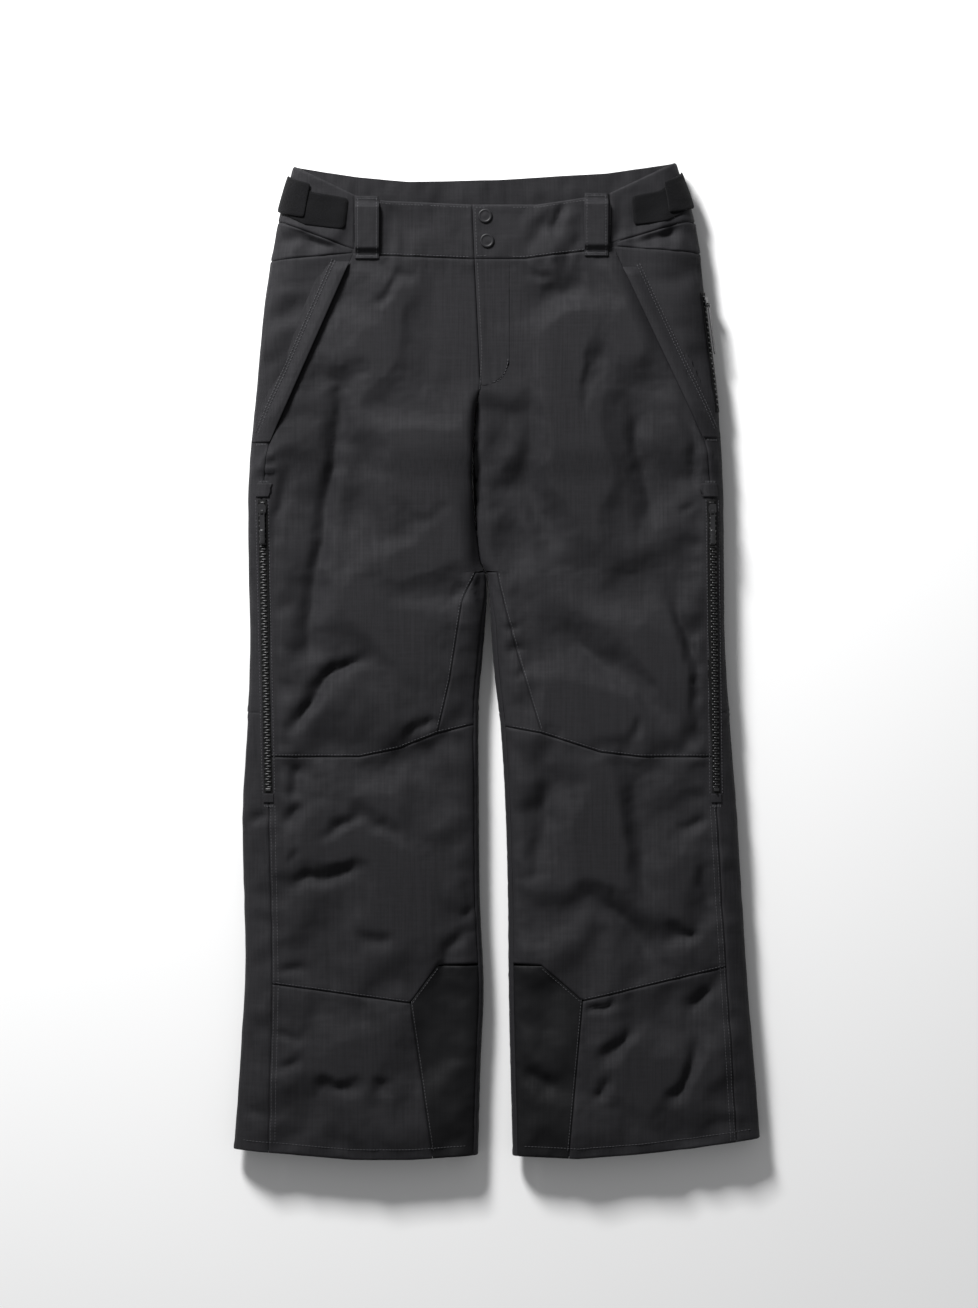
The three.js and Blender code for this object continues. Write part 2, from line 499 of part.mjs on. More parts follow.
// Puts a slider and its pull at a point, with the zip's direction, the surface's normal and a lift.
function placeZip(name, sliderShape, pullShape, point, down, normal) {
  const y = new THREE.Vector3(...down).normalize().negate();
  const z = new THREE.Vector3(...normal);
  z.addScaledVector(y, -z.dot(y)).normalize();
  const m = new THREE.Matrix4().makeBasis(new THREE.Vector3().crossVectors(y, z), y, z);
  m.setPosition(...point);
  hardware(`${name}_slider`, sliderShape.applyMatrix4(m));
  hardware(`${name}_pull`, pullShape.applyMatrix4(m));
}

const chainLift = SEAT + TAPE.thick;

function ventZip(s, name) {
  const at = (y) => [s.side(y * KY), y * KY], run = line(at(170), at(-143));
  const path = (t) => [s.side(run(t)[1]), run(t)[1]];
  add(`vent_zip_chain_${name}`, strip(s, path, ribbon(TAPE.width, SEAT, chainLift, 2), 10), DARK, 0.6);
  const garagePath = line(at(186), at(172.4));
  cloth(`vent_zip_garage_${name}`, strip(s, garagePath, ribbon(GARAGE.width, SEAT, SEAT + GARAGE.thick, 3), 3));
  const p = at(160), u = uAt(s, ...p), level = surface(s, along(s, u, p[1], -SLIDER.width / 2), p[1])[2];
  const down = at(-130).map((v, i) => v - at(172)[i]);
  placeZip(`vent_${name}`, archedSlider(), flippingPull(VENT_PULL),
    [...p, level + chainLift + SEAT], [...down, 0], [0, 0, 1]);
}

// The slanted hand pocket: welt flap, zip below it, and the bag under the front panel.
const POCKETS = { left: [[-153, 426], [-241, 227]], right: [[129, 420], [218, 232]] };
function handPocket(s, name) {
  const [a, b] = POCKETS[name].map(([x, y]) => [x * KX, y * KY]);
  const run = line(a, b), cover = chainLift + SEAT + SLIDER.plate + SEAT + PULL.thick + 0.7;
  const w = FLAP.width, t = FLAP.thick, f = w - FLAP.foot;
  const low = SEAT + 0.15; // it also bends round the edge of the hip
  const profile = [[w, low], [w, low + t], [f + 1.2, low + t + 0.4], [f - 0.4, cover + t], [0, cover + t],
    [0, cover], [f - 1.4, cover], [f + 0.2, low]];
  cloth(`hand_pocket_flap_${name}`, strip(s, (k) => run(mix(0.03, 0.985, k)), profile, 9));
  const zipShift = 4.8 * s.dir;
  const zipAt = (k) => { const [x, y] = run(k); return [x + zipShift, y]; };
  add(`hand_pocket_zip_chain_${name}`, strip(s, (k) => zipAt(mix(0.05, 0.93, k)),
    ribbon(6, SEAT, chainLift, 1), 8), DARK, 0.6);
  const p = zipAt(0.12), q = zipAt(0.8), down = [q[0] - p[0], q[1] - p[1], 0];
  placeZip(`hand_pocket_${name}`, pinnedSlider().scale(0.75, 1, 1), swivelPull(POCKET_PULL).scale(0.8, 1, 1),
    [...p, TRUNK_DEPTH + chainLift + SEAT], down, [0, 0, 1]);
  const inner = (x, y) => atXY(s, x, y), d = s.dir, x0 = POCKETS[name][0][0], x1 = POCKETS[name][1][0];
  const bag = [inner(x1 + d * -40, 235), inner(x1 - d * 21, 272), inner(x0 - d * 4, 414), inner(x0 - d * 62, 404)];
  bag[0] = inner(x1 - d * 118, 246);
  cloth(`hand_pocket_bag_${name}`, quadPatch(s, bag, [3, 3], [-FABRIC - SEAT - 1.6, -FABRIC - SEAT]));
}

// The thigh pocket's zip runs down the outer edge of the right hip.
function thighPocket() {
  const s = right, u0 = 2.8, from = 388 * KY, to = 262 * KY;
  const path = (t) => { const y = mix(from, to, t); return [surface(s, u0, y)[0], y]; };
  add('thigh_pocket_zip_chain', strip(s, path, ribbon(TAPE.width, SEAT, chainLift, 3), 8), DARK, 0.6);
  const at = (y) => new THREE.Vector3(...surface(s, u0, y * KY, chainLift + 2 * SEAT));
  const p = at(378), out = at(378).sub(new THREE.Vector3(...surface(s, u0, 378 * KY)));
  placeZip('thigh_pocket', archedSlider(), flippingPull(THIGH_PULL), p.toArray(),
    at(290).sub(p).toArray(), out.toArray());
}

// ---------------------------------------------------------------- assembly
for (const [s, name] of [[left, 'left'], [right, 'right']]) {
  legPanels(s, name);
  ventZip(s, name);
  handPocket(s, name);
  adjuster(s, name);
}
waistband();
beltLoop('belt_loop_left', -137, 456);
beltLoop('belt_loop_right', 104, 459);
flyFlap();
flyZip();
placeZip('fly', pinnedSlider().scale(0.9, 1, 1), swivelPull(POCKET_PULL),
  [zipX, 410 * KY, UNDER - 5 + SEAT + 0.9 + 0.8 + SEAT], [0, -1, 0], [0, 0, 1]);
thighPocket();

// The origin is the middle of the bottom of the whole garment's box.
const box = new THREE.Box3().setFromObject(lay), centre = box.getCenter(new THREE.Vector3());
lay.position.set(-centre.x, -centre.y, -box.min.z);
const pants = new THREE.Group();
pants.add(lay);
export default pants;
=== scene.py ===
"""Ski pants laid flat on their back: cloth panels, zips, snaps, loops and stitching over the fixed frame."""

import math
from types import SimpleNamespace

import bpy
import numpy as np
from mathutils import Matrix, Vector


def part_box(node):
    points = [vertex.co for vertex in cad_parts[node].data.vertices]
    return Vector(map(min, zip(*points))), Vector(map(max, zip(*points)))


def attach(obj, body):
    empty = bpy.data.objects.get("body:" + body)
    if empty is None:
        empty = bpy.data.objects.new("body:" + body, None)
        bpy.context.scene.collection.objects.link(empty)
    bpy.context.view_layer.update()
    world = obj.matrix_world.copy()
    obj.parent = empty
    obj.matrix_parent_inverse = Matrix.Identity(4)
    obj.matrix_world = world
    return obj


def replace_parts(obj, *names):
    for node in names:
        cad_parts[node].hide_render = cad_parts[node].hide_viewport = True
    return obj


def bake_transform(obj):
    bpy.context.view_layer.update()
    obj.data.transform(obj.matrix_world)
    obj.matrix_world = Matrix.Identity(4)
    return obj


bl_info = {
    "name": "Ski pants",
    "version": (1, 0, 0),
    "blender": (4, 5, 0),
    "location": "3D View > Sidebar > Ski Pants",
    "description": "Builds insulated ski pants piece by piece",
    "category": "Add Mesh",
}

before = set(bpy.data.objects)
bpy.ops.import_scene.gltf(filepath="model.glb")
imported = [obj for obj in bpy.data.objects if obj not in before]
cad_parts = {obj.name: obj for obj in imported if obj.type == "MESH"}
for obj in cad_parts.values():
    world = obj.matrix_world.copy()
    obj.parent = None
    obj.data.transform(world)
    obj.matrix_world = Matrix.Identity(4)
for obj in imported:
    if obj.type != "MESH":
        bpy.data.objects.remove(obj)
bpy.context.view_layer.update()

# Heights and widths below are in mm, from the middle of the laid-flat garment; SHIFT takes them to the frame.
_cap = [sum(c) * 500 for c in zip(*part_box("snap_cap_upper"))]
SHIFT = np.array([_cap[0] + 13, _cap[1] - 468, 0.0])
TRUNK_DEPTH = 34.0
LEG_DEPTH = 30.0
EDGE_ROUND = 30.0
INSEAM_ROUND = 26.0
FABRIC = 2.0
SEAM = 0.4
CROSS = 0.6
FLY_HINGE = 12.0


# ---------------------------------------------------------------- garment surface
def smoothstep(a, b, v):
    t = np.clip((np.asarray(v, float) - a) / (b - a), 0, 1)
    return t * t * (3 - 2 * t)


def mix(a, b, t):
    return a + (b - a) * t


def curve(points, straight=False):
    """A function through (key, value) points, smooth or in straight runs."""
    p = np.array(sorted(points), float)
    k, v = p[:, 0], p[:, 1]
    slope = (np.append(v[1:], v[-1]) - np.append(v[0], v[:-1])) / (np.append(k[1:], k[-1]) - np.append(k[0], k[:-1]))

    def at(x):
        x = np.asarray(x, float)
        i = np.clip(np.searchsorted(k, x, side="left") - 1, 0, len(k) - 2)
        h = k[i + 1] - k[i]
        t = (x - k[i]) / h
        line = mix(v[i], v[i + 1], t)
        if straight:
            return line
        bent = mix(v[i], v[i + 1], t * t * (3 - 2 * t)) + h * t * (1 - t) * (slope[i] * (1 - t) - slope[i + 1] * t)
        return np.where((t < 0) | (t > 1), line, bent)

    return at


def seam(points):
    return curve(points, True)


MIDDLE = [(525, -13), (425, -13), (290, -18), (270, -22), (190, -26), (106, -18)]
LEFT = SimpleNamespace(
    name="left",
    dir=-1,
    outer=curve([(521, -215), (485, -226), (443, -235), (380, -245), (275, -255), (190, -262.5), (106, -262.5),
                 (22, -261), (-62, -263.5), (-167, -269), (-315, -266), (-399, -270), (-514, -278)]),
    inner=curve([(y, x - 0.2) for y, x in MIDDLE] + [(90, -12.8), (55, -12), (1, -16), (-41, -19.5), (-146, -19.5),
                                                     (-251, -18.5), (-345, -14.5), (-420, -17.5), (-520, -20.5)]),
    side=seam([(429, -152), (426, -153), (227, -241), (172, -248), (-150, -240.6), (-340, -237), (-514, -241)]),
    front=seam([(-76, -63), (-20, -50), (64, -37), (94, -24), (98, 40), (290, 40), (292, -17.6), (300, -18.6),
                (368, -21.9), (423, -24.6)]),
    knee=seam([(-20, -66), (-63, -76), (-103, -92), (-145, -101), (-270, -101)]),
    shin=seam([(-10, -318), (-63, -320), (-92, -360), (-237, -340), (-280, -334)]),
    scuff=seam([(-320, -63), (-360, -92), (-525, -68)]),
    scuff_low=seam([(-360, -92), (-525, -68)]),
    hem=seam([(-280, -514), (-153, -525), (-90, -525), (-16, -520)]),
    seat=seam([(-152, 429), (-239, 421), (-250, 421)]),
    band_low=seam([(-152, 433), (-228, 462), (-240, 462)]),
    band_end=-150.5,
    scuff_top=-360,
    pocket=((-153, 426), (-241, 227)),
    patch=((-160, 453), (2.78, 475), (2.78, 511), (-156, 487)),
    tab=((-203, 466), (2.97, 474), (2.97, 512), (-196, 502)),
    loop=(-137, 456),
)
RIGHT = SimpleNamespace(
    name="right",
    dir=1,
    outer=curve([(525, 188), (506, 195), (485, 202.5), (443, 212), (380, 219), (275, 232), (190, 238), (106, 239),
                 (22, 240), (-62, 245), (-167, 253), (-251, 258), (-357, 265), (-462, 274), (-510, 277)]),
    inner=curve([(y, x + 0.2) for y, x in MIDDLE] + [(90, -10), (64, -8), (22, -6), (-20, -2.6), (-62, 2.6),
                                                     (-146, 8), (-251, 11), (-357, 12), (-520, 16)]),
    side=seam([(436, 122), (420, 129), (232, 218), (227, 219), (172, 226), (-150, 230.3), (-251, 236), (-340, 242),
               (-504, 252)]),
    front=seam([(-76, 46), (-20, 29), (64, 5), (94, -2), (98, -60), (286, -60), (292, -3.6), (300, 6.4),
                (312, FLY_HINGE + SEAM), (430, FLY_HINGE + SEAM)]),
    knee=seam([(8, -69), (46, -76), (108, -96), (150, -101), (255, -101)]),
    shin=seam([(8, -318), (46, -320), (90, -358), (229, -325), (280, -313)]),
    scuff=seam([(-320, 46), (-358, 90), (-525, 75)]),
    scuff_low=seam([(-358, 90), (-525, 75)]),
    hem=seam([(12, -521), (85, -524), (141, -520), (205, -513), (280, -502)]),
    seat=seam([(123, 436), (216, 429), (230, 429)]),
    band_low=seam([(122, 440), (197, 462), (215, 462)]),
    band_end=118.5,
    scuff_top=-358,
    pocket=((129, 420), (218, 232)),
    patch=((143, 458), (2.78, 479), (2.78, 515), (141, 489)),
    tab=((180, 471), (2.97, 478), (2.97, 516), (174, 504)),
    loop=(104, 459),
)
SIDES = (LEFT, RIGHT)
WAIST_SEAM = seam([(-154, 429), (-118, 426), (-26, 422.5), (29, 423), (94, 431), (123, 436)])
FRONT_TOP = seam([(-151, 490), (-118, 484), (-29, 480), (43, 480), (115, 491), (125, 494)])
BACK_TOP = seam([(-214, 521), (-148, 511), (-93, 506), (0, 508), (115, 515), (187, 525)])
SIDE_TOP = {"left": seam([(-150, 490), (-215, 521), (-230, 521)]),
            "right": seam([(118, 492), (188, 525), (200, 525)])}
OVERLAP = seam([(480, -26.4), (423, -24.2), (368, -21.5), (300, -18.2), (291, -17.2)])
TOE = seam([(290, -14.5), (290.6, -9), (293.6, -3.6), (297.4, 2.4), (303, 7), (315, 12)])


def hipness(y):
    return smoothstep(186, 227, y)


def legness(y):
    return 1 - smoothstep(100, 290, y)


def depth(y):
    return mix(LEG_DEPTH, TRUNK_DEPTH, hipness(y))


def outer_round(s, y):
    return mix(np.abs(s.outer(y) - s.side(y)) / 0.8, EDGE_ROUND, hipness(y))


def surface(s, u, y, lift=0.0):
    """A point of the garment: u runs round a section, 0-3 over the top from the inner edge and 3-6 underneath."""
    u, y, lift = np.broadcast_arrays(np.asarray(u, float), np.asarray(y, float), np.asarray(lift, float))
    v = np.where(u > 6, u - 6, u)
    top = v <= 3
    g = np.where(top, v, 6 - v)
    xi = s.inner(y)
    width = np.abs(s.outer(y) - xi)
    wo = outer_round(s, y)
    r = legness(y)
    half = depth(y) / 2
    a = np.clip(g, 0, 1) * math.pi / 2
    b = np.clip(3 - g, 0, 1) * math.pi / 2
    inner, outer = g < 1, g > 2
    d = np.where(inner, INSEAM_ROUND * (1 - np.cos(a)),
                 np.where(outer, width - wo * (1 - np.cos(b)), mix(INSEAM_ROUND, width - wo, g - 1)))
    sink = np.where(inner, r * (1 - np.sin(a)), np.where(outer, 1 - np.sin(b), 0.0))
    nx = np.where(inner, -r * np.cos(a), np.where(outer, np.cos(b), 0.0))
    nz = np.where(inner, 1 - r + r * np.sin(a), np.where(outer, np.sin(b), 1.0))
    n = lift / np.hypot(nx, nz)
    up = np.where(top, 1.0, -1.0)
    return np.stack([xi + s.dir * (d + nx * n), y, half + up * (half * (1 - sink) + nz * n)], -1)


def u_at(s, x, y):
    """The u of a point on the top at x."""
    x, y = np.broadcast_arrays(np.asarray(x, float), np.asarray(y, float))
    width = np.abs(s.outer(y) - s.inner(y))
    wo = outer_round(s, y)
    d = np.clip((x - s.inner(y)) * s.dir, 0, width)
    near = np.arccos(np.clip(1 - d / INSEAM_ROUND, -1, 1)) / (math.pi / 2)
    far = 3 - np.arccos(np.clip(1 - (width - d) / wo, -1, 1)) / (math.pi / 2)
    return np.where(d < INSEAM_ROUND, near,
                    np.where(d > width - wo, far, 1 + (d - INSEAM_ROUND) / (width - wo - INSEAM_ROUND)))


def along(s, u, y, distance):
    """u moved by a distance over the surface, outward for a positive one."""
    v = np.asarray(u, float) + 0.0 * np.asarray(y, float)
    for _ in range(8):
        step = surface(s, v + 0.004, y) - surface(s, v - 0.004, y)
        v = v + distance / 8 / np.maximum(8, np.hypot(step[..., 0], step[..., 2]) / 0.008)
    return v


# ---------------------------------------------------------------- folds of the cloth
# A valley: its line, width, depth, and how far its left and right banks stand up.
VALLEYS = [
    (((-137, 310), (-157, 304), (-166, 280), (-168, 232), (-180, 172), (-190, 97), (-199, 27), (-207, -13)), 9,
            4.6, 0.5, 0.2),
    (((-131, 4), (-160, -3), (-180, -16), (-197, -40), (-221, -83)), 6.5, 4.4, 0.35, 0.2),
    (((-98, -84), (-88, -70), (-61, -61)), 5, 2.0, 0.2, 0.3),
    (((-193, -198), (-169, -174), (-145, -164), (-120, -174), (-96, -192)), 10, 3.8, 0.3, 0.3),
    (((-222, -233), (-169, -225), (-131, -203)), 8, 3.0, 0.4, 0.3),
    (((-265, -171), (-238, -161)), 3.5, 2.2, 0.3, 0.3),
    (((-225, -176), (-204, -149)), 7, 2.6, 0.3, 0.3),
    (((-222, -214), (-209, -198)), 3, 1.2, 0.3, 0.3),
    (((-40, -273), (-21, -254)), 5, 1.8, 0.3, 0.3),
    (((-153, -297), (-107, -292)), 9, 1.4, 0.3, 0.3),
    (((-233, -327), (-201, -324)), 4, 1.2, 0.3, 0.3),
    (((-236, -391), (-198, -399)), 5, 1.0, 0.3, 0.3),
    (((-230, -431), (-201, -419)), 5, 1.4, 0.3, 0.3),
    (((-201, -445), (-163, -450), (-136, -443)), 10, 2.6, 0.3, 0.3),
    (((-120, -434), (-123, -461)), 8, 1.8, 0.3, 0.3),
    (((-265, -477), (-241, -477)), 2.5, 0.9, 0.3, 0.3),
    (((-245, 208), (-233, 210)), 3, 1.3, 0.3, 0.3),
    (((-40, 63), (-37, 83)), 8, 1.6, 0.3, 0.3),
    (((-23, 88), (-16, 63)), 5, 1.6, 0.3, 0.3),
    (((-211, -103), (-211, -146)), 8, 2.2, 0.3, 0.3),
    (((-120, -112), (-85, -98), (-60, -88)), 20, 2.6, 0.1, 0.2),
    (((-188, 397), (-240, 348)), 6, 2.8, 0.3, 0.3),
    (((-208, 355), (-240, 303)), 8, 1.8, 0.3, 0.3),
    (((-111, 404), (-81, 404)), 10, 1.4, 0.3, 0.3),
    (((-60, 380), (-52, 330), (-70, 270)), 16, 1.8, 0.3, 0.3),
    (((1.6, 420), (-4.7, 386)), 5, 1.6, 0.3, 0.3),
    (((31, 353), (35, 322), (41, 253), (30, 186), (56, 132), (53, 76)), 13, 3.4, 0.4, 0.3),
    (((118, 345), (97, 301), (78, 246)), 14, 3.0, 0.2, 0.3),
    (((2, 290), (10, 210), (20, 130), (26, 70)), 22, 2.8, 0.0, 0.1),
    (((99, 399), (43, 380)), 13, 2.8, 0.3, 0.3),
    (((134, 300), (146, 230), (157, 173), (162, 117)), 10, 3.0, 0.3, 0.4),
    (((40, 62), (62, 38), (104, 4), (160, -34), (206, -79)), 17, 4.4, 0.1, 0.35),
    (((178, 86), (196, 38), (209, -6), (209, -82)), 7, 3.0, 0.5, 0.2),
    (((150, -55), (142, -86)), 6, 1.6, 0.3, 0.3),
    (((5, 34), (22, 37)), 3, 1.2, 0.3, 0.3),
    (((10, 10), (30, 15)), 3.5, 1.4, 0.3, 0.3),
    (((20, -18), (31, -8)), 3, 1.0, 0.3, 0.3),
    (((190, 159), (208, 160)), 3, 1.1, 0.3, 0.3),
    (((141, -110), (146, -165), (150, -217), (161, -262)), 12, 3.0, 0.3, 0.3),
    (((60, -95), (48, -155), (43, -217), (31, -242)), 14, 3.0, 0.3, 0.4),
    (((91, -237), (130, -270), (150, -290), (172, -318)), 12, 3.4, 0.15, 0.3),
    (((172, -285), (215, -290)), 8, 2.4, 0.3, 0.3),
    (((189, -180), (222, -164)), 6, 2.0, 0.3, 0.3),
    (((91, -369), (130, -358)), 5, 2.4, 0.3, 0.3),
    (((146, -386), (105, -426)), 7, 3.4, 0.5, 0.3),
    (((119, -437), (102, -462)), 6, 2.8, 0.5, 0.3),
    (((229, -338), (201, -371)), 7, 2.4, 0.3, 0.3),
    (((215, -392), (201, -437), (178, -472)), 8, 3.4, 0.5, 0.3),
    (((26, -431), (63, -451)), 8, 1.6, 0.3, 0.3),
    (((35, 478), (-4.7, 447)), 5, 1.8, 0.3, 0.3),
    (((55, 473), (29, 430)), 6, 2.2, 0.3, 0.3),
    (((74, 482), (51, 447)), 6, 2.6, 0.3, 0.3),
    (((97, 447), (78, 437)), 4, 1.6, 0.3, 0.3),
    (((-59, 478), (-81, 455)), 6, 1.7, 0.3, 0.3),
    (((-42, 453), (-42, 434)), 4, 1.6, 0.3, 0.3),
    (((-30, 478), (-33, 455)), 5, 1.5, 0.3, 0.3),
    (((-234, 444), (-193, 441), (-166, 434)), 4, 2.2, 0.3, 0.3),
    (((-222, 452), (-196, 448)), 3, 1.4, 0.3, 0.3),
    (((-194, 414), (-216, 388)), 5, 1.8, 0.3, 0.3),
    (((202, 453), (168, 444), (142, 438)), 4, 2.4, 0.3, 0.3),
    (((212, 420), (190, 400), (176, 372)), 6, 1.8, 0.3, 0.3),
    (((-100, 400), (-130, 372)), 5, 1.6, 0.3, 0.3),
    (((20, 410), (62, 402)), 5, 1.6, 0.3, 0.3),
    (((-216, 210), (-236, 150), (-243, 90)), 6, 1.8, 0.3, 0.3),
    (((-140, 250), (-146, 180), (-158, 110)), 22, 2.4, 0.1, 0.2),
    (((196, 300), (206, 230), (210, 170)), 7, 1.8, 0.3, 0.3),
    (((-60, -330), (-52, -300), (-30, -280)), 6, 1.4, 0.3, 0.3),
    (((-236, -120), (-230, -170)), 5, 1.4, 0.3, 0.3),
    (((214, -210), (224, -260)), 5, 1.4, 0.3, 0.3),
]
# A swell: its middle, reach across and along, turn in degrees, and height.
SWELLS = [
    (-76, 218, 46, 70, 20, 2.2), (-110, 60, 60, 90, 0, 1.8), (-225, 40, 20, 90, 5, 1.4), (-150, -180, 44, 30, 25, 2.0),
    (-100, -260, 50, 60, 0, 1.6), (-150, -420, 60, 60, 0, 1.2), (-100, 350, 40, 60, -10, 1.6),
            (90, 220, 34, 90, 5, 2.4),
    (180, -20, 34, 60, 20, 2.2), (90, -60, 50, 40, 20, 2.0), (110, -180, 40, 70, 5, 2.0), (190, -230, 30, 60, 0, 1.6),
    (150, -440, 34, 50, 20, 1.8), (60, 300, 24, 60, 0, 2.0), (90, 360, 24, 30, 0, 1.6), (150, 360, 30, 60, 15, 1.6),
    (60, -320, 30, 30, 0, 1.2), (230, -440, 20, 60, 0, 1.0), (-230, 330, 20, 60, 20, 1.4),
]
CELL = 2.0
GRID_X = np.arange(-300, 301, CELL)
GRID_Y = np.arange(-544, 545, CELL)


def line_distance(x, y, points):
    """Signed distance to a run of points, and how far along it, from 0 to 1."""
    p = np.array(points, float)
    lengths = np.hypot(*np.diff(p, axis=0).T)
    total, start = lengths.sum(), np.concatenate([[0], np.cumsum(lengths)])
    best = np.full(x.shape, 1e9)
    sign = np.ones(x.shape)
    where = np.zeros(x.shape)
    for i in range(len(p) - 1):
        d = p[i + 1] - p[i]
        qx, qy = x - p[i, 0], y - p[i, 1]
        t = np.clip((qx * d[0] + qy * d[1]) / (d @ d), 0, 1)
        far = np.hypot(qx - t * d[0], qy - t * d[1])
        closer = far < best
        best = np.where(closer, far, best)
        sign = np.where(closer, np.where(d[0] * qy < d[1] * qx, -1.0, 1.0), sign)
        where = np.where(closer, (start[i] + t * lengths[i]) / total, where)
    return best * sign, where


def ripple(x, y, size, seed, turn=0.0):
    """Smooth repeatable noise from a few crossed waves, about -1 to 1."""
    rng = np.random.default_rng(seed)
    out = np.zeros(np.shape(x))
    for _ in range(9):
        a = turn + rng.uniform(-1.3, 1.3)
        w = 2 * math.pi / (size * rng.uniform(0.7, 1.6))
        out = out + np.sin(w * (x * math.cos(a) + y * math.sin(a)) + rng.uniform(0, 6.28)
                           + 1.3 * np.sin(w * 0.47 * (y * math.cos(a) - x * math.sin(a)) + rng.uniform(0, 6.28)))
    return out / 4.2


def calm(x, y):
    """0 where hardware lies on the cloth, 1 where it is free to fold."""
    m = np.ones(x.shape)
    for s in SIDES:
        near = np.abs(x - s.side(y))
        zone = (y > -160) & (y < 200)
        m = np.where(zone, m * smoothstep(6, 17, near), m)
        a, b = np.array(s.pocket[0], float), np.array(s.pocket[1], float)
        d = line_distance(x, y, [a, b])[0]
        m = m * smoothstep(7, 20, np.abs(d + 7 * -s.dir))
        lx, ly = s.loop
        m = m * np.maximum(smoothstep(15, 24, np.abs(x - lx)), smoothstep(36, 46, np.abs(y - ly)))
    for cy in (468, 442):
        m = m * smoothstep(8, 15, np.hypot(x + 12, y - cy))
    return m


def drawn_relief():
    """The folds as listed, bent a little off their lines, with rumples between them."""
    straight_x, straight_y = np.meshgrid(GRID_X, GRID_Y)
    x = straight_x + 2.6 * ripple(straight_x, straight_y, 44, 91) + 0.9 * ripple(straight_x, straight_y, 15, 92)
    y = straight_y + 2.6 * ripple(straight_x, straight_y, 40, 93) + 0.9 * ripple(straight_x, straight_y, 14, 94)
    h = np.zeros(x.shape)
    for points, w, a, left_bank, right_bank in VALLEYS:
        a = a / (1 + 0.2 * a) * (0.8 if w < 6.5 else 1.0)
        d, t = line_distance(x, y, points)
        ends = 0.12 + 0.88 * smoothstep(0, 0.3, t) * (1 - smoothstep(0.7, 1, t))
        wob = w * (1 + 0.18 * np.sin(y * 0.07 + x * 0.05))
        h -= a * ends * np.exp(-((d / wob) ** 2))
        h += 0.7 * a * ends * left_bank * np.exp(-(((d - 2.4 * wob) / (2.1 * wob)) ** 2))
        h += 0.7 * a * ends * right_bank * np.exp(-(((d + 2.4 * wob) / (2.1 * wob)) ** 2))
    for cx, cy, rx, ry, turn, a in SWELLS:
        c, s_ = math.cos(math.radians(turn)), math.sin(math.radians(turn))
        dx, dy = x - cx, y - cy
        h += a * np.exp(-(((dx * c + dy * s_) / rx) ** 2) - ((dy * c - dx * s_) / ry) ** 2)
    h *= 3.7
    x, y = straight_x, straight_y
    h += 1.5 * ripple(x, y, 92, 3) + 0.7 * ripple(x, y, 34, 5) + 0.2 * ripple(x, y, 13, 8)
    crease, t = line_distance(x, y, [(-18, 296), (-22, 270), (-26, 190), (-22, 140), (-18, 106), (-13, 60)])
    deep = 10.0 * smoothstep(0, 0.16, t) * (1 - 0.4 * smoothstep(0.7, 1.0, t))
    # the left thigh stands over the right one along the crease between them
    h += 0.5 * deep * np.where(crease < 0, np.exp(-((crease / 30) ** 2)), 0.0)
    h -= deep * np.exp(-((np.abs(crease) / 4.2) ** 1.5))
    h -= 0.42 * deep * smoothstep(0, 6, crease) * np.exp(-(((crease - 8) / 38) ** 2))
    for s in SIDES:
        near = np.abs(x - s.side(y))
        zip_part = smoothstep(-165, -140, y) * (1 - smoothstep(165, 190, y))
        h += zip_part * 0.9 * ripple(x * 0.5, y, 24, 71 + s.dir) * np.exp(-(((near - 18) / 12) ** 2))
        h += 0.6 * (1 - zip_part) * (y < 200) * ripple(x * 0.6, y, 30, 75 + s.dir) * np.exp(-((near / 16) ** 2))
    band = np.abs(y - WAIST_SEAM(x) - 6)
    h += 1.3 * ripple(x, y * 0.5, 24, 81) * np.exp(-((band / 22) ** 2))
    return h, x, y


_relief = {}


def relief():
    """The height of the cloth's folds over the top, mm, on a regular grid."""
    if "h" not in _relief:
        h, x, y = drawn_relief()
        h = h * calm(x, y)
        if "settled" in _relief:
            h = h + _relief["settled"]
        # the layers of the fly lie close under the front, so it stays level there
        fly = (smoothstep(-115, -60, x) * (1 - smoothstep(16, 60, x)) * smoothstep(262, 306,
                y) * (1 - smoothstep(482, 492, y)))
        _relief["h"] = mix(np.minimum(h, 7.0), np.where(h < 0, 0.3, 0.9) * np.tanh(h / np.where(h < 0, 1.0, 3.0)), fly)
    return _relief["h"]


def free_cloth(x, y):
    """How free the top sheet is to move: 0 at the outline, fittings and side seams, 1 in the open."""
    free = np.zeros(x.shape)
    for s in SIDES:
        i, e = s.inner(y), s.outer(y)
        free = np.maximum(free, smoothstep(3, 28, np.minimum(x - np.minimum(i, e), np.maximum(i, e) - x)))
    trunk = smoothstep(3, 28, np.minimum(x - LEFT.outer(y), RIGHT.outer(y) - x))
    free = np.where(y > 250, np.maximum(free, trunk), free)
    free = free * smoothstep(-526, -504, y) * (1 - smoothstep(468, 486, y)) * calm(x, y)
    for s in SIDES:
        mine = (x - s.inner(y)) * s.dir > -4
        sewn = 0.35 + 0.65 * smoothstep(0, 9, np.minimum(np.abs(y - s.knee(x)), np.abs(y - s.shin(x))))
        free = np.where(mine, free * sewn * smoothstep(0, 10, np.abs(x - s.side(y))), free)
    return free * (0.3 + 0.7 * smoothstep(0, 8, np.abs(y - WAIST_SEAM(x))))


def sampled(h, x, y):
    fx = np.clip((x - GRID_X[0]) / CELL, 0, len(GRID_X) - 1.001)
    fy = np.clip((y - GRID_Y[0]) / CELL, 0, len(GRID_Y) - 1.001)
    i, j = fx.astype(int), fy.astype(int)
    tx, ty = fx - i, fy - j
    return mix(mix(h[j, i], h[j, i + 1], tx), mix(h[j + 1, i], h[j + 1, i + 1], tx), ty)


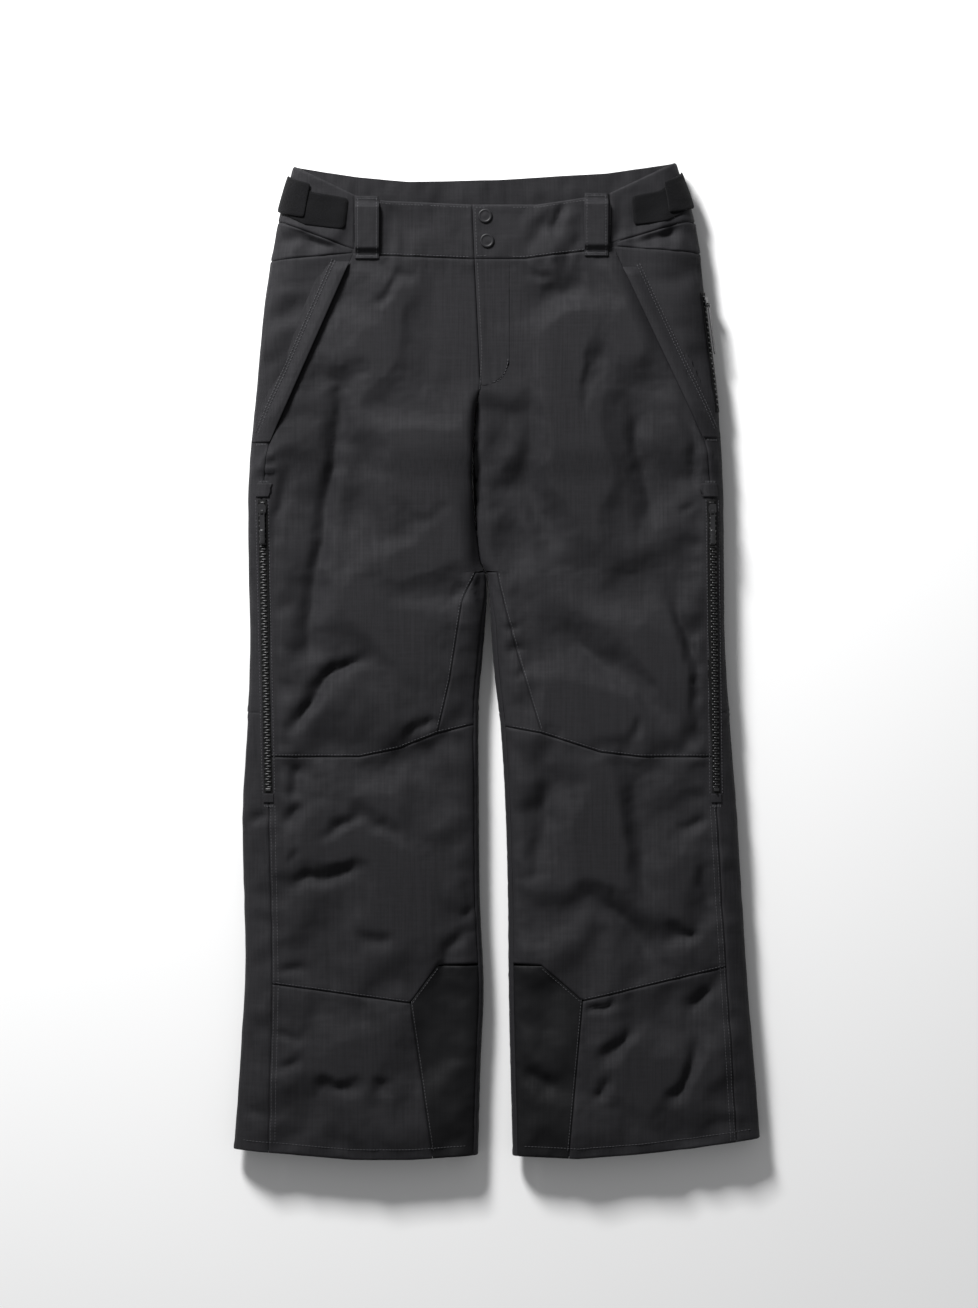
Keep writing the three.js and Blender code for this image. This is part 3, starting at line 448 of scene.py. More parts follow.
def fold_height(s, u, y):
    """How far the cloth stands off the plain garment surface at a point, mm."""
    u, y = np.broadcast_arrays(np.asarray(u, float), np.asarray(y, float))
    v = np.where(u > 6, u - 6, u)
    p = surface(s, u, y)
    top = sampled(relief(), p[..., 0], y)
    edge = mix(1.0, smoothstep(0.25, 0.85, v), smoothstep(0.55, 1.0, legness(y)))
    rim = 1 - smoothstep(2.35, 3.0, v)
    under = -0.45 - 0.45 * ripple(p[..., 0], y, 60, 21) - 0.25 * ripple(p[..., 0], y, 24, 22)
    under = np.minimum(under, -0.05) * smoothstep(3.2, 4.0, v) * (1 - smoothstep(5.3, 5.9, v) * legness(y))
    band = smoothstep(440, 500, y) * smoothstep(3.3, 4.1, v)
    under = under - band * (5.0 + 1.6 * ripple(p[..., 0], y * 0.3, 46, 23) + 0.5 * ripple(p[..., 0], y * 0.5, 15, 24))
    side = 0.22 * ripple(p[..., 2] * 2, y, 30, 17) - 0.1
    on_rim = smoothstep(2.35, 2.8, v) * (1 - smoothstep(3.2, 3.7, v))
    return np.where(v <= 3, top * edge * rim, under) + side * on_rim


# ---------------------------------------------------------------- mesh from grids
def to_frame(points):
    return (np.asarray(points, float).reshape(-1, 3) + SHIFT) / 1000


def mesh_object(name, points, faces, smooth=True, rest=None, rim=None):
    """A mesh piece from points in mm and faces; rest lays out its weave, rim gives its crisp edges."""
    mesh = bpy.data.meshes.new(name)
    mesh.from_pydata(to_frame(points).tolist(), [], [list(map(int, f)) for f in faces])
    mesh.update()
    mesh.polygons.foreach_set("use_smooth", np.full(len(mesh.polygons), smooth))
    att = mesh.attributes.new("cloth", "FLOAT_VECTOR", "POINT")
    att.data.foreach_set("vector", (np.asarray(points if rest is None else rest, float).reshape(-1,
            3)).astype(np.float32).ravel())
    if rim is not None:
        ends = np.zeros(len(mesh.edges) * 2, np.int32)
        mesh.edges.foreach_get("vertices", ends)
        crisp = mesh.attributes.new("sharp_edge", "BOOLEAN", "EDGE")
        crisp.data.foreach_set("value", np.isin(ends, rim).reshape(-1, 2).all(1))
    obj = bpy.data.objects.new(name, mesh)
    bpy.context.scene.collection.objects.link(obj)
    return obj


def rim_corners(rows, cols):
    """The numbers of the points round the edge of a grid, on the outer face only."""
    return np.unique(np.concatenate([np.arange(cols), np.arange(rows) * cols, np.arange(rows) * cols + cols - 1,
                                     (rows - 1) * cols + np.arange(cols)]))


def quads(i0, rows, cols, flip=False):
    r, c = np.meshgrid(np.arange(rows - 1), np.arange(cols - 1), indexing="ij")
    a = (i0 + r * cols + c).ravel()
    q = np.stack([a, a + 1, a + cols + 1, a + cols], -1)
    return q[:, ::-1] if flip else q


def slab_faces(rows, cols):
    n = rows * cols
    rim = np.concatenate([np.arange(cols), np.arange(1, rows) * cols + cols - 1,
                          (rows - 1) * cols + np.arange(cols - 2, -1, -1), np.arange(rows - 2, 0, -1) * cols])
    nxt = np.roll(rim, -1)
    return np.concatenate([quads(0, rows, cols), quads(n, rows, cols, True),
            np.stack([rim, rim + n, nxt + n, nxt], -1)])


def outward(points, faces):
    """The faces turned so that the closed mesh has positive volume."""
    p = np.asarray(points, float).reshape(-1, 3)
    f = np.asarray(faces)
    a, b, c, d = (p[f[:, i]] for i in range(4))
    volume = (a * np.cross(b, c)).sum() + (a * np.cross(c, d)).sum()
    return f if volume > 0 else f[:, ::-1]


def spaced(lengths, pitch, edges=(0.0, 0.7, 1.5, 2.8, 5.0)):
    """Positions over a length: close together by both ends, about a pitch apart between."""
    total = float(lengths)
    e = [v for v in edges if v < total * 0.3]
    n = max(2, int(round((total - 2 * e[-1]) / pitch)))
    return np.concatenate([e[:-1], np.linspace(e[-1], total - e[-1], n + 1), [total - v for v in e[:-1]][::-1]]) / total


def patch(s, anchors, heights, low=None, high=None, pitch=3.6, close_at=()):
    """u and y over a panel between anchor lines (functions of y) and heights, ends bent to the seams low and high."""
    y0, y1 = heights
    reach = min(60.0, y1 - y0)
    ym = (y0 + y1) / 2
    marks = [float(a(np.array(ym))) for a in anchors]
    fine = np.linspace(0, len(anchors) - 1, 200)
    um = np.interp(fine, range(len(anchors)), marks)
    pm = surface(s, um, ym)
    cum = np.concatenate([[0], np.cumsum(np.linalg.norm(np.diff(pm, axis=0), axis=1))])
    t = np.interp(spaced(cum[-1], pitch) * cum[-1], cum, fine)
    rows = y0 + spaced(y1 - y0, pitch) * (y1 - y0)
    for a, b, n in close_at:
        rows = np.union1d(rows[(rows < a - 0.4) | (rows > b + 0.4)], np.linspace(a, b, n))
    t, row = np.meshgrid(t, rows)
    k = np.minimum(t.astype(int), len(anchors) - 2)
    f = t - k
    y = row.copy()
    for step in range(6):
        us = np.stack([a(y) + 0 * y for a in anchors])
        u = mix(np.take_along_axis(us, k[None], 0)[0], np.take_along_axis(us, k[None] + 1, 0)[0], f)
        if step == 5:
            break
        x = surface(s, u, y)[..., 0]
        y = row.copy()
        if low:
            y = y + (low(x, u) - y0) * np.maximum(0, 1 - (row - y0) / reach)
        if high:
            y = y + (high(x, u) - y1) * np.maximum(0, 1 - (y1 - row) / reach)
    return s, u, y


def edge_distances(p):
    """Distance of each grid point from the four edges: first row, last row, first column, last column."""
    dr = np.linalg.norm(np.diff(p, axis=0), axis=2)
    dc = np.linalg.norm(np.diff(p, axis=1), axis=2)
    down = np.concatenate([np.zeros((1, p.shape[1])), np.cumsum(dr, 0)])
    right = np.concatenate([np.zeros((p.shape[0], 1)), np.cumsum(dc, 1)], 1)
    return down, down[-1:] - down, right, right[:, -1:] - right


def turned_edges(base, ridges, dips):
    """Heights over a panel from its four edges: each rolls down into its seam, with its turning raised behind it."""
    edges = edge_distances(base)
    x, y = base[..., 0], base[..., 1]
    roll = np.min([-(d(x, y) if callable(d) else d) * (1 - smoothstep(0, 1.7, e)) ** 2 for e, d in zip(edges, dips)], 0)
    turn = np.max([(r(x, y) if callable(r) else r) * smoothstep(0, 1.8, e) * (1 - smoothstep(6, 9, e))
                   for e, r in zip(edges, ridges)], 0)
    near = np.min([e if not callable(d) and d > 0 else 99 + 0 * e for e, d in zip(edges, dips)], 0)
    return roll, turn, near


def cloth_panel(name, patches, ridges=(0.3, 0.3, 0.3, 0.3), dips=(0.7, 0.7, 0.5, 0.5), lift=0.0, thickness=1.5,
        colour="shell"):
    """A closed cloth slab over one or more patches side by side, with its folds, turned edges and puckers."""
    base, normal, folds = [], [], []
    for i, (s, u, y) in enumerate(patches):
        if i:
            u, y = u[:, 1:], y[:, 1:]
        p = surface(s, u, y)
        base.append(p)
        normal.append(surface(s, u, y, 1.0) - p)
        folds.append(fold_height(s, u, y))
    base, normal, folds = (np.concatenate(v, 1) for v in (base, normal, folds))
    roll, turn, near = turned_edges(base, ridges, dips)
    pucker = 0.3 * ripple(base[..., 0], base[..., 1] + base[..., 2], 12, 31) * np.exp(-(((near - 5) / 7.0) ** 2))
    under = base[..., 2] < depth(base[..., 1]) / 2
    off = folds + roll + np.where(under & (normal[..., 2] < -0.2), np.minimum(0, -turn * 0.2 + pucker),
            turn + pucker) + lift
    rows, cols = off.shape
    outer = base + normal * off[..., None]
    inner = base + normal * (folds + lift - thickness)[..., None]
    points = np.concatenate([outer.reshape(-1, 3), inner.reshape(-1, 3)])
    obj = mesh_object(name, points, outward(points, slab_faces(rows, cols)), rim=rim_corners(rows, cols),
                      rest=np.concatenate([base.reshape(-1, 3), base.reshape(-1, 3) + [0, 0, 400]]))
    finish(obj, colour)
    return obj


def swept(name, s, path, profile, steps, colour="shell", follow=True, scale=None):
    """A closed band swept over the cloth: path(t) gives x and y, profile is a loop of across and lift."""
    t = np.linspace(0, 1, steps + 1)
    xy = np.array([path(v) for v in t], float)
    prof = np.array(profile, float)
    u = u_at(s, xy[:, 0], xy[:, 1])
    tall = np.array([scale(v) for v in t]) if scale else 1.0
    rows = []
    for across, lift in prof:
        v = along(s, u, xy[:, 1], across)
        base_lift = fold_height(s, v, xy[:, 1]) if follow else 0.0
        rows.append(surface(s, v, xy[:, 1], lift * tall + base_lift))
    p = np.stack(rows, 1)
    n = len(prof)
    faces = []
    for i in range(steps):
        for j in range(n):
            a, b = i * n + j, i * n + (j + 1) % n
            faces.append([a, b, b + n, a + n])
    faces = [list(f) for f in outward(p, faces)]
    flip = faces[0][0] != 0
    ends = [list(range(n))[::-1], list(range(steps * n, steps * n + n))]
    if flip:
        ends = [e[::-1] for e in ends]
    obj = mesh_object(name, p.reshape(-1, 3), faces + ends)
    if colour:
        finish(obj, colour)
    return obj


def rounded(points, turns=3, reach=0.35):
    """A closed loop with its corners cut round."""
    p = np.array(points, float)
    out = []
    for i in range(len(p)):
        a, b, c = p[i - 1], p[i], p[(i + 1) % len(p)]
        ra = min(reach, 0.45 * np.linalg.norm(a - b))
        rc = min(reach, 0.45 * np.linalg.norm(c - b))
        e, f = b + (a - b) / max(np.linalg.norm(a - b), 1e-9) * ra, b + (c - b) / max(np.linalg.norm(c - b), 1e-9) * rc
        for k in range(turns + 1):
            t = k / turns
            out.append((1 - t) ** 2 * e + 2 * t * (1 - t) * b + t * t * f)
    return [tuple(v) for v in out]


def lathe(name, centre, profile, segments=40):
    """A turned piece about an upright axis; profile is radius and height, from the axis back to the axis."""
    prof = np.array(profile, float)
    a = np.linspace(0, 2 * math.pi, segments, endpoint=False)
    ring = np.stack([np.cos(a), np.sin(a)], -1)
    points, faces, index = [], [], []
    for r, z in prof:
        if r < 1e-6:
            index.append([len(points)] * segments)
            points.append([centre[0], centre[1], z])
        else:
            index.append(list(range(len(points), len(points) + segments)))
            points += [[centre[0] + r * c, centre[1] + r * d, z] for c, d in ring]
    for p, q in zip(index, index[1:]):
        for i in range(segments):
            j = (i + 1) % segments
            f = [p[i], p[j], q[j], q[i]]
            f = [v for k, v in enumerate(f) if v not in f[:k]]
            if len(f) > 2:
                faces.append(f)
    return mesh_object(name, points, faces)


def joined(name, shapes):
    """One piece from many small closed shapes, each (points, faces)."""
    points, faces, n = [], [], 0
    for p, f in shapes:
        points.append(p)
        faces += [[v + n for v in q] for q in f]
        n += len(p)
    return mesh_object(name, np.concatenate(points), faces)


# ---------------------------------------------------------------- node helpers
def node(tree, kind, where=(0, 0), **values):
    n = tree.nodes.new(kind)
    n.location = where
    for key, v in values.items():
        if key in n.inputs:
            n.inputs[key].default_value = v
        else:
            setattr(n, key, v)
    return n


def maths(tree, op, a, b=None, clamp=False):
    n = tree.nodes.new("ShaderNodeMath")
    n.operation = op
    n.use_clamp = clamp
    for i, v in enumerate((a, b)):
        if v is None:
            continue
        if isinstance(v, (int, float)):
            n.inputs[i].default_value = v
        else:
            tree.links.new(v, n.inputs[i])
    return n.outputs[0]


def ramp(tree, value, low, high, out_low=0.0, out_high=1.0):
    n = tree.nodes.new("ShaderNodeMapRange")
    n.interpolation_type = "SMOOTHSTEP"
    tree.links.new(value, n.inputs["Value"])
    for k, v in (("From Min", low), ("From Max", high), ("To Min", out_low), ("To Max", out_high)):
        n.inputs[k].default_value = v
    return n.outputs["Result"]


def noise(tree, vector, scale, detail=2.0, stretch=(1, 1, 1), roughness=0.5):
    m = tree.nodes.new("ShaderNodeMapping")
    m.inputs["Scale"].default_value = stretch
    tree.links.new(vector, m.inputs["Vector"])
    n = tree.nodes.new("ShaderNodeTexNoise")
    n.inputs["Scale"].default_value = scale
    n.inputs["Detail"].default_value = detail
    n.inputs["Roughness"].default_value = roughness
    tree.links.new(m.outputs[0], n.inputs["Vector"])
    return n.outputs["Fac"]


def group(name, inputs, outputs):
    """A shader node group with named sockets, made once."""
    g = bpy.data.node_groups.new(name, "ShaderNodeTree")
    for label, kind, value in inputs:
        sock = g.interface.new_socket(label, in_out="INPUT", socket_type=kind)
        if value is not None:
            sock.default_value = value
    for label, kind in outputs:
        g.interface.new_socket(label, in_out="OUTPUT", socket_type=kind)
    return g, g.nodes.new("NodeGroupInput"), g.nodes.new("NodeGroupOutput")


def weave_group():
    """Plain weave: threads across and along, with slubs and long soft streaks."""
    g = bpy.data.node_groups.get("Woven threads")
    if g:
        return g
    g, i, o = group("Woven threads",
                    [("Position", "NodeSocketVector", None), ("Thread", "NodeSocketFloat", 0.9),
                            ("Streak", "NodeSocketFloat", 0.5)],
                    [("Height", "NodeSocketFloat"), ("Shade", "NodeSocketFloat")])
    sep = g.nodes.new("ShaderNodeSeparateXYZ")
    g.links.new(i.outputs["Position"], sep.inputs[0])
    across = maths(g, "ADD", sep.outputs["X"], maths(g, "MULTIPLY", sep.outputs["Z"], 0.9))
    threads = []
    for v in (across, sep.outputs["Y"]):
        turn = maths(g, "MULTIPLY", maths(g, "DIVIDE", v, i.outputs["Thread"]), 2 * math.pi)
        threads.append(maths(g, "SINE", turn))
    cross = maths(g, "MULTIPLY", threads[0], threads[1])
    up = noise(g, i.outputs["Position"], 1.0, 2.0, (0.62, 0.018, 0.62))
    level = noise(g, i.outputs["Position"], 1.0, 2.0, (0.03, 0.5, 0.03))
    slub = noise(g, i.outputs["Position"], 1.0, 3.0, (0.24, 0.24, 0.24))
    streak = maths(g, "ADD", maths(g, "MULTIPLY", up, 0.55), maths(g, "MULTIPLY", level, 0.3))
    streak = maths(g, "ADD", streak, maths(g, "MULTIPLY", slub, 0.15))
    fine = maths(g, "MULTIPLY", cross, 0.22)
    height = maths(g, "ADD", maths(g, "MULTIPLY", streak, i.outputs["Streak"]), fine)
    g.links.new(height, o.inputs["Height"])
    g.links.new(ramp(g, streak, 0.34, 0.64), o.inputs["Shade"])
    return g


def wear_group():
    """Rubbed, lighter patches: broad soft cloudiness and fine dust."""
    g = bpy.data.node_groups.get("Soft wear")
    if g:
        return g
    g, i, o = group("Soft wear", [("Position", "NodeSocketVector", None), ("Size", "NodeSocketFloat", 0.01)],
                    [("Cloud", "NodeSocketFloat"), ("Dust", "NodeSocketFloat")])
    scaled = g.nodes.new("ShaderNodeVectorMath")
    scaled.operation = "SCALE"
    g.links.new(i.outputs["Position"], scaled.inputs[0])
    g.links.new(i.outputs["Size"], scaled.inputs["Scale"])
    g.links.new(ramp(g, noise(g, scaled.outputs[0], 1.0, 3.0), 0.3, 0.7), o.inputs["Cloud"])
    g.links.new(ramp(g, noise(g, scaled.outputs[0], 60.0, 2.0), 0.5, 0.8), o.inputs["Dust"])
    return g


def tone(colour, k):
    return tuple(min(1.0, c * k) for c in colour[:3]) + (1.0,)


def new_material(name, base, **sockets):
    m = bpy.data.materials.new(name)
    m.use_nodes = True
    m.diffuse_color = base
    p = m.node_tree.nodes["Principled BSDF"]
    for k, v in sockets.items():
        p.inputs[k.replace("_", " ")].default_value = v
    return m, m.node_tree, p


def cloth_material(name, base, thread=0.9, streak=0.5, bump=0.35, spread=0.2, rough=(0.62, 0.76), sheen=0.02,
        sheen_rough=0.45,
                   gloss=0.12):
    """A woven cloth: thread relief, streaks of lighter yarn, cloudy wear and a soft sheen."""
    m, t, p = new_material(name, base, Sheen_Weight=sheen, Sheen_Roughness=sheen_rough,
            Sheen_Tint=(0.75, 0.75, 0.82, 1),
                           Specular_IOR_Level=gloss)
    att = node(t, "ShaderNodeAttribute", attribute_name="cloth")
    w = node(t, "ShaderNodeGroup", node_tree=weave_group())
    w.inputs["Thread"].default_value = thread
    w.inputs["Streak"].default_value = streak
    a = node(t, "ShaderNodeGroup", node_tree=wear_group())
    t.links.new(att.outputs["Vector"], w.inputs["Position"])
    t.links.new(att.outputs["Vector"], a.inputs["Position"])
    shade = maths(t, "ADD", maths(t, "MULTIPLY", w.outputs["Shade"], 0.6),
            maths(t, "MULTIPLY", a.outputs["Cloud"], 0.4))
    mixer = node(t, "ShaderNodeMix", data_type="RGBA")
    mixer.inputs["A"].default_value = tone(base, 1 - spread)
    mixer.inputs["B"].default_value = tone(base, 1 + spread)
    t.links.new(shade, mixer.inputs["Factor"])
    t.links.new(mixer.outputs["Result"], p.inputs["Base Color"])
    t.links.new(ramp(t, shade, 0, 1, rough[1], rough[0]), p.inputs["Roughness"])
    b = node(t, "ShaderNodeBump", Strength=bump, Distance=0.0006)
    t.links.new(w.outputs["Height"], b.inputs["Height"])
    t.links.new(b.outputs["Normal"], p.inputs["Normal"])
    return m


def object_position(t, scale=1000.0):
    c = node(t, "ShaderNodeTexCoord")
    s = node(t, "ShaderNodeVectorMath", operation="SCALE")
    s.inputs["Scale"].default_value = scale
    t.links.new(c.outputs["Object"], s.inputs[0])
    return s.outputs[0]


def moulded_material(name, base, rough=(0.34, 0.5), metallic=0.0, grain=1.6, bump=0.15, spread=0.25, coat=0.0, edge=0.0,
                     gloss=0.35):
    """Moulded plastic or painted metal: fine grain, rubbed lighter patches, dust, and sharp edges lightened partly as
    wear and partly as a painted highlight.
    """
    m, t, p = new_material(name, base, Metallic=metallic, Coat_Weight=coat, Coat_Roughness=0.25,
            Specular_IOR_Level=gloss)
    position = object_position(t)
    a = node(t, "ShaderNodeGroup", node_tree=wear_group())
    a.inputs["Size"].default_value = 0.22
    t.links.new(position, a.inputs["Position"])
    shade = a.outputs["Cloud"]
    # sharp edges are lightened by pointiness: partly rubbed wear, partly a painted highlight standing in for glints
    if edge:
        geo = node(t, "ShaderNodeNewGeometry")
        worn_and_highlit_edges = ramp(t, geo.outputs["Pointiness"], 0.5, 0.6, 0.0, edge)
        shade = maths(t, "ADD", shade, worn_and_highlit_edges, clamp=True)
    mixer = node(t, "ShaderNodeMix", data_type="RGBA")
    mixer.inputs["A"].default_value = tone(base, 1 - spread)
    mixer.inputs["B"].default_value = tone(base, 1 + spread)
    t.links.new(shade, mixer.inputs["Factor"])
    t.links.new(mixer.outputs["Result"], p.inputs["Base Color"])
    t.links.new(ramp(t, a.outputs["Dust"], 0, 1, rough[0], rough[1]), p.inputs["Roughness"])
    b = node(t, "ShaderNodeBump", Strength=bump, Distance=0.0003)
    t.links.new(noise(t, position, grain, 3.0), b.inputs["Height"])
    t.links.new(b.outputs["Normal"], p.inputs["Normal"])
    return m


def pile_material(name, base, scale=1.1, bump=0.8, stretch=(1, 1, 1)):
    """Brushed loops or hooks: short matted pile."""
    m, t, p = new_material(name, base, Sheen_Weight=0.04, Sheen_Roughness=0.5, Specular_IOR_Level=0.1)
    att = node(t, "ShaderNodeAttribute", attribute_name="cloth")
    f = noise(t, att.outputs["Vector"], scale, 4.0, stretch, 0.7)
    cells = node(t, "ShaderNodeTexVoronoi", Scale=scale * 0.7)
    t.links.new(att.outputs["Vector"], cells.inputs["Vector"])
    height = maths(t, "ADD", f, maths(t, "MULTIPLY", cells.outputs["Distance"], 0.5))
    mixer = node(t, "ShaderNodeMix", data_type="RGBA")
    mixer.inputs["A"].default_value = tone(base, 0.6)
    mixer.inputs["B"].default_value = tone(base, 1.7)
    t.links.new(ramp(t, height, 0.35, 0.95), mixer.inputs["Factor"])
    t.links.new(mixer.outputs["Result"], p.inputs["Base Color"])
    t.links.new(ramp(t, f, 0.3, 0.7, 0.8, 0.98), p.inputs["Roughness"])
    b = node(t, "ShaderNodeBump", Strength=bump, Distance=0.0005)
    t.links.new(height, b.inputs["Height"])
    t.links.new(b.outputs["Normal"], p.inputs["Normal"])
    return m


SLOT_OF = {"shell": "shell_fabric", "scuff": "scuff_fabric", "lining": "lining", "pile": "hook_and_loop",
           "hooks": "hook_and_loop", "tape": "zip_chain", "teeth": "zip_chain", "slider": "slider", "pull": "pull",
           "snap": "snap", "thread": "shell_fabric"}


MATERIAL_NAMES = {"shell": "Outer cloth", "scuff": "Scuff cloth", "lining": "Lining cloth", "pile": "Loop pile",
                  "hooks": "Hook tape", "tape": "Zip tape", "teeth": "Zip tooth plastic", "slider": "Slider enamel",
                  "pull": "Pull plastic", "snap": "Snap enamel", "thread": "Sewing thread"}


def finish(obj, kind):
    """Gives a piece its material."""
    c = bpy.context.scene.pants_colours
    slot, kind_name = SLOT_OF[kind], MATERIAL_NAMES[kind]
    made = bpy.data.materials.get(kind_name)
    if made is None:
        if kind == "shell":
            made = cloth_material(kind_name, tuple(c.shell), 0.9, 0.6, 0.5)
        elif kind == "scuff":
            made = cloth_material(kind_name, tuple(c.scuff), 1.5, 0.35, 0.6, spread=0.16, rough=(0.6, 0.75),
                    sheen=0.01, gloss=0.14)
        elif kind == "lining":
            made = cloth_material(kind_name, tuple(c.lining), 0.8, 0.3, 0.3, rough=(0.45, 0.6), sheen=0.05)
        elif kind == "tape":
            made = cloth_material(kind_name, tuple(c.trim), 1.1, 0.2, 0.8, rough=(0.5, 0.7), sheen=0.0, gloss=0.1)
        elif kind == "pile":
            made = pile_material(kind_name, tuple(c.pile), 1.3, 0.8)
        elif kind == "hooks":
            made = pile_material(kind_name, tuple(c.pile), 0.9, 0.9, (1.0, 0.3, 1.0))
        elif kind == "teeth":
            made = moulded_material(kind_name, tuple(c.teeth), (0.36, 0.5), 0.0, 2.0, coat=0.05, gloss=0.45)
        # edge lightens the sharp edges of sliders, pulls and snaps: partly wear, partly a painted highlight
        elif kind == "slider":
            made = moulded_material(kind_name, tuple(c.hardware), (0.3, 0.44), 0.0, 2.4, coat=0.2, edge=0.5, gloss=0.45)
        elif kind == "pull":
            made = moulded_material(kind_name, tuple(c.hardware), (0.36, 0.5), 0.0, 2.0, coat=0.12, edge=0.5,
                    gloss=0.45)
        elif kind == "snap":
            made = moulded_material(kind_name, tuple(c.snap), (0.46, 0.6), 0.0, 1.8, coat=0.0, edge=0.25, gloss=0.22)
        elif kind == "thread":
            made = moulded_material(kind_name, tuple(c.thread), (0.5, 0.7), 0.0, 5.0, 0.5)
    obj.data.materials.clear()
    obj.data.materials.append(made)
    return obj


# ---------------------------------------------------------------- stitches
_stitches = {}


def capsule(p, d, n, length, radius):
    """A short thread lying along d on the cloth."""
    side = np.cross(d, n)
    shape = [(-0.5, 0.35, -0.6), (-0.32, 1, 0.15), (0.0, 1.05, 0.3), (0.32, 1, 0.15), (0.5, 0.35, -0.6)]
    points, sides = [], 6
    for t, r, up in shape:
        for k in range(sides):
            a = 2 * math.pi * k / sides
            points.append(p + d * (t * length) + n * (up * radius)
                          + (side * math.cos(a) + n * math.sin(a)) * radius * r)
    faces = []
    for i in range(len(shape) - 1):
        for k in range(sides):
            a, b = i * sides + k, i * sides + (k + 1) % sides
            faces.append([a, b, b + sides, a + sides])
    faces.append(list(range(sides))[::-1])
    faces.append(list(range((len(shape) - 1) * sides, len(shape) * sides)))
    return np.array(points), faces


def stitch(s, path, body=None, lift=0.25, extra=None, pitch=None, flat_base=False):
    """A row of stitches over the cloth along path(t), which gives x and y; extra(t) adds to their height."""
    sizes = bpy.context.scene.pants_sizes
    pitch = pitch or sizes.stitch_pitch * 1000
    length, radius = sizes.stitch_length * 1000 * min(1, pitch / 3.4), sizes.thread * 500
    t = np.linspace(0, 1, 240)
    xy = np.array([path(v) for v in t], float)
    cum = np.concatenate([[0], np.cumsum(np.hypot(*np.diff(xy, axis=0).T))])
    n = max(2, int(cum[-1] / pitch))
    at = np.interp((np.arange(n) + 0.5) / n * cum[-1], cum, t)

    def points(tt):
        q = np.array([path(v) for v in np.clip(tt, 0, 1)], float)
        u = u_at(s, q[:, 0], q[:, 1])
        h = ((0.0 if flat_base else fold_height(s, u, q[:, 1])) + lift
             + (0 if extra is None else np.array([extra(v) for v in tt])))
        return surface(s, u, q[:, 1], h), surface(s, u, q[:, 1], 1.0) - surface(s, u, q[:, 1])

    p, normal = points(at)
    e = 0.2 / n
    a, _ = points(at - e)
    b, _ = points(at + e)
    for i in range(n):
        d = b[i] - a[i]
        ln = np.linalg.norm(d)
        if ln < 1e-6:
            continue
        d = d / ln
        nn = normal[i] - d * (normal[i] @ d)
        nn = nn / max(np.linalg.norm(nn), 1e-9)
        key = body or ("leg_" + s.name if p[i][1] < -146 else "seat")
        _stitches.setdefault(key, []).append(capsule(p[i], d, nn, length, radius))


def bartack(s, x, y, angle, width, body=None, lift=0.3):
    """A dense bar of stitches across the end of a seam."""
    c, d = math.cos(math.radians(angle)), math.sin(math.radians(angle))
    for k in (-0.45, 0.0, 0.45):
        stitch(s, lambda t: (x + c * (t - 0.5) * width - d * k * 1.6, y + d * (t - 0.5) * width + c * k * 1.6),
                body, lift, pitch=1.5)


def seam_line(table, y0, y1, offset):
    """A path beside a seam that runs up the garment."""
    def at(t):
        y = mix(y0, y1, t)
        dx = float(table(y + 2) - table(y - 2)) / 4
        n = math.hypot(1, dx)
        return (float(table(y)) + offset / n, y - offset * dx / n)
    return at


def cross_line(table, x0, x1, offset):
    """A path beside a seam that runs across the garment."""
    def at(t):
        x = mix(x0, x1, t)
        dy = float(table(x + 2) - table(x - 2)) / 4
        n = math.hypot(1, dy)
        return (x - offset * dy / n, float(table(x)) + offset / n)
    return at


# ---------------------------------------------------------------- settings
def colour(label, description, value):
    return bpy.props.FloatVectorProperty(name=label, description=description, subtype="COLOR", size=4, min=0, max=1,
                                         default=tuple(value) + (1.0,))


def length(label, description, value):
    return bpy.props.FloatProperty(name=label, description=description, default=value, min=0, unit="LENGTH",
            precision=5)


class PantsSizes(bpy.types.PropertyGroup):
    """Sizes that a maker would change."""
    stitch_length: length("Stitch length", "Length of one visible stitch", 0.0026)
    stitch_pitch: length("Stitch pitch", "Distance from one stitch to the next", 0.0034)
    thread: length("Thread", "Diameter of the sewing thread", 0.00052)
    tooth_pitch: length("Tooth pitch", "Distance between zip teeth on one side", 0.0054)
    snap_diameter: length("Snap diameter", "Width of a snap's cap", 0.015)
    looseness: bpy.props.FloatProperty(name="Looseness",
                                       description="Share by which the loose sheet is bigger than its place",
                                       default=0.018, min=0, max=0.1, precision=4)
    topstitch: length("Topstitch inset", "Distance of the second row of stitches from a seam", 0.0065)


class PantsColours(bpy.types.PropertyGroup):
    """Colours of the cloths and fittings."""
    shell: colour("Outer cloth", "Cloth of the legs and the waist", (0.0146, 0.0143, 0.0160))
    scuff: colour("Scuff patch", "Cloth of the patches inside the ankles", (0.0045, 0.0045, 0.0052))
    lining: colour("Lining", "Inside of the waist and the pockets", (0.016, 0.016, 0.0178))
    trim: colour("Zip tape", "Tape beside the zip teeth", (0.0032, 0.0032, 0.0034))
    teeth: colour("Zip teeth", "Moulded zip teeth", (0.013, 0.013, 0.0135))
    pile: colour("Hook and loop", "Waist tabs and the patches under them", (0.0025, 0.0025, 0.0029))
    hardware: colour("Sliders and pulls", "Zip sliders and their pulls", (0.010, 0.010, 0.011))
    snap: colour("Snaps", "Fly snaps", (0.0125, 0.0123, 0.0138))
    thread: colour("Thread", "Sewing thread", (0.054, 0.054, 0.059))
    floor: colour("Floor", "Pale floor under the garment", (0.87, 0.87, 0.87))


# ---------------------------------------------------------------- operators
def seam_u(s, table):
    return lambda y: u_at(s, table(y), y)


def shifted(s, u, distance):
    return lambda y: along(s, u(y), y, distance)


def flat(u):
    return lambda y: np.full(np.shape(y), float(u))


INSEAM = curve([(-600, 0.4), (40, 0.4), (94, 0.05), (100, 0), (600, 0)], True)


SHEET_GRID = 6.0  # mm between the loose sheet's points
SHEET_X, SHEET_Y = 288, 534  # how far the loose sheet reaches from the middle, mm
SETTLE_FRAMES = 21  # how long the loose sheet is left to settle
MOST_MOVE = 3.6  # the most that settling may move a point, mm


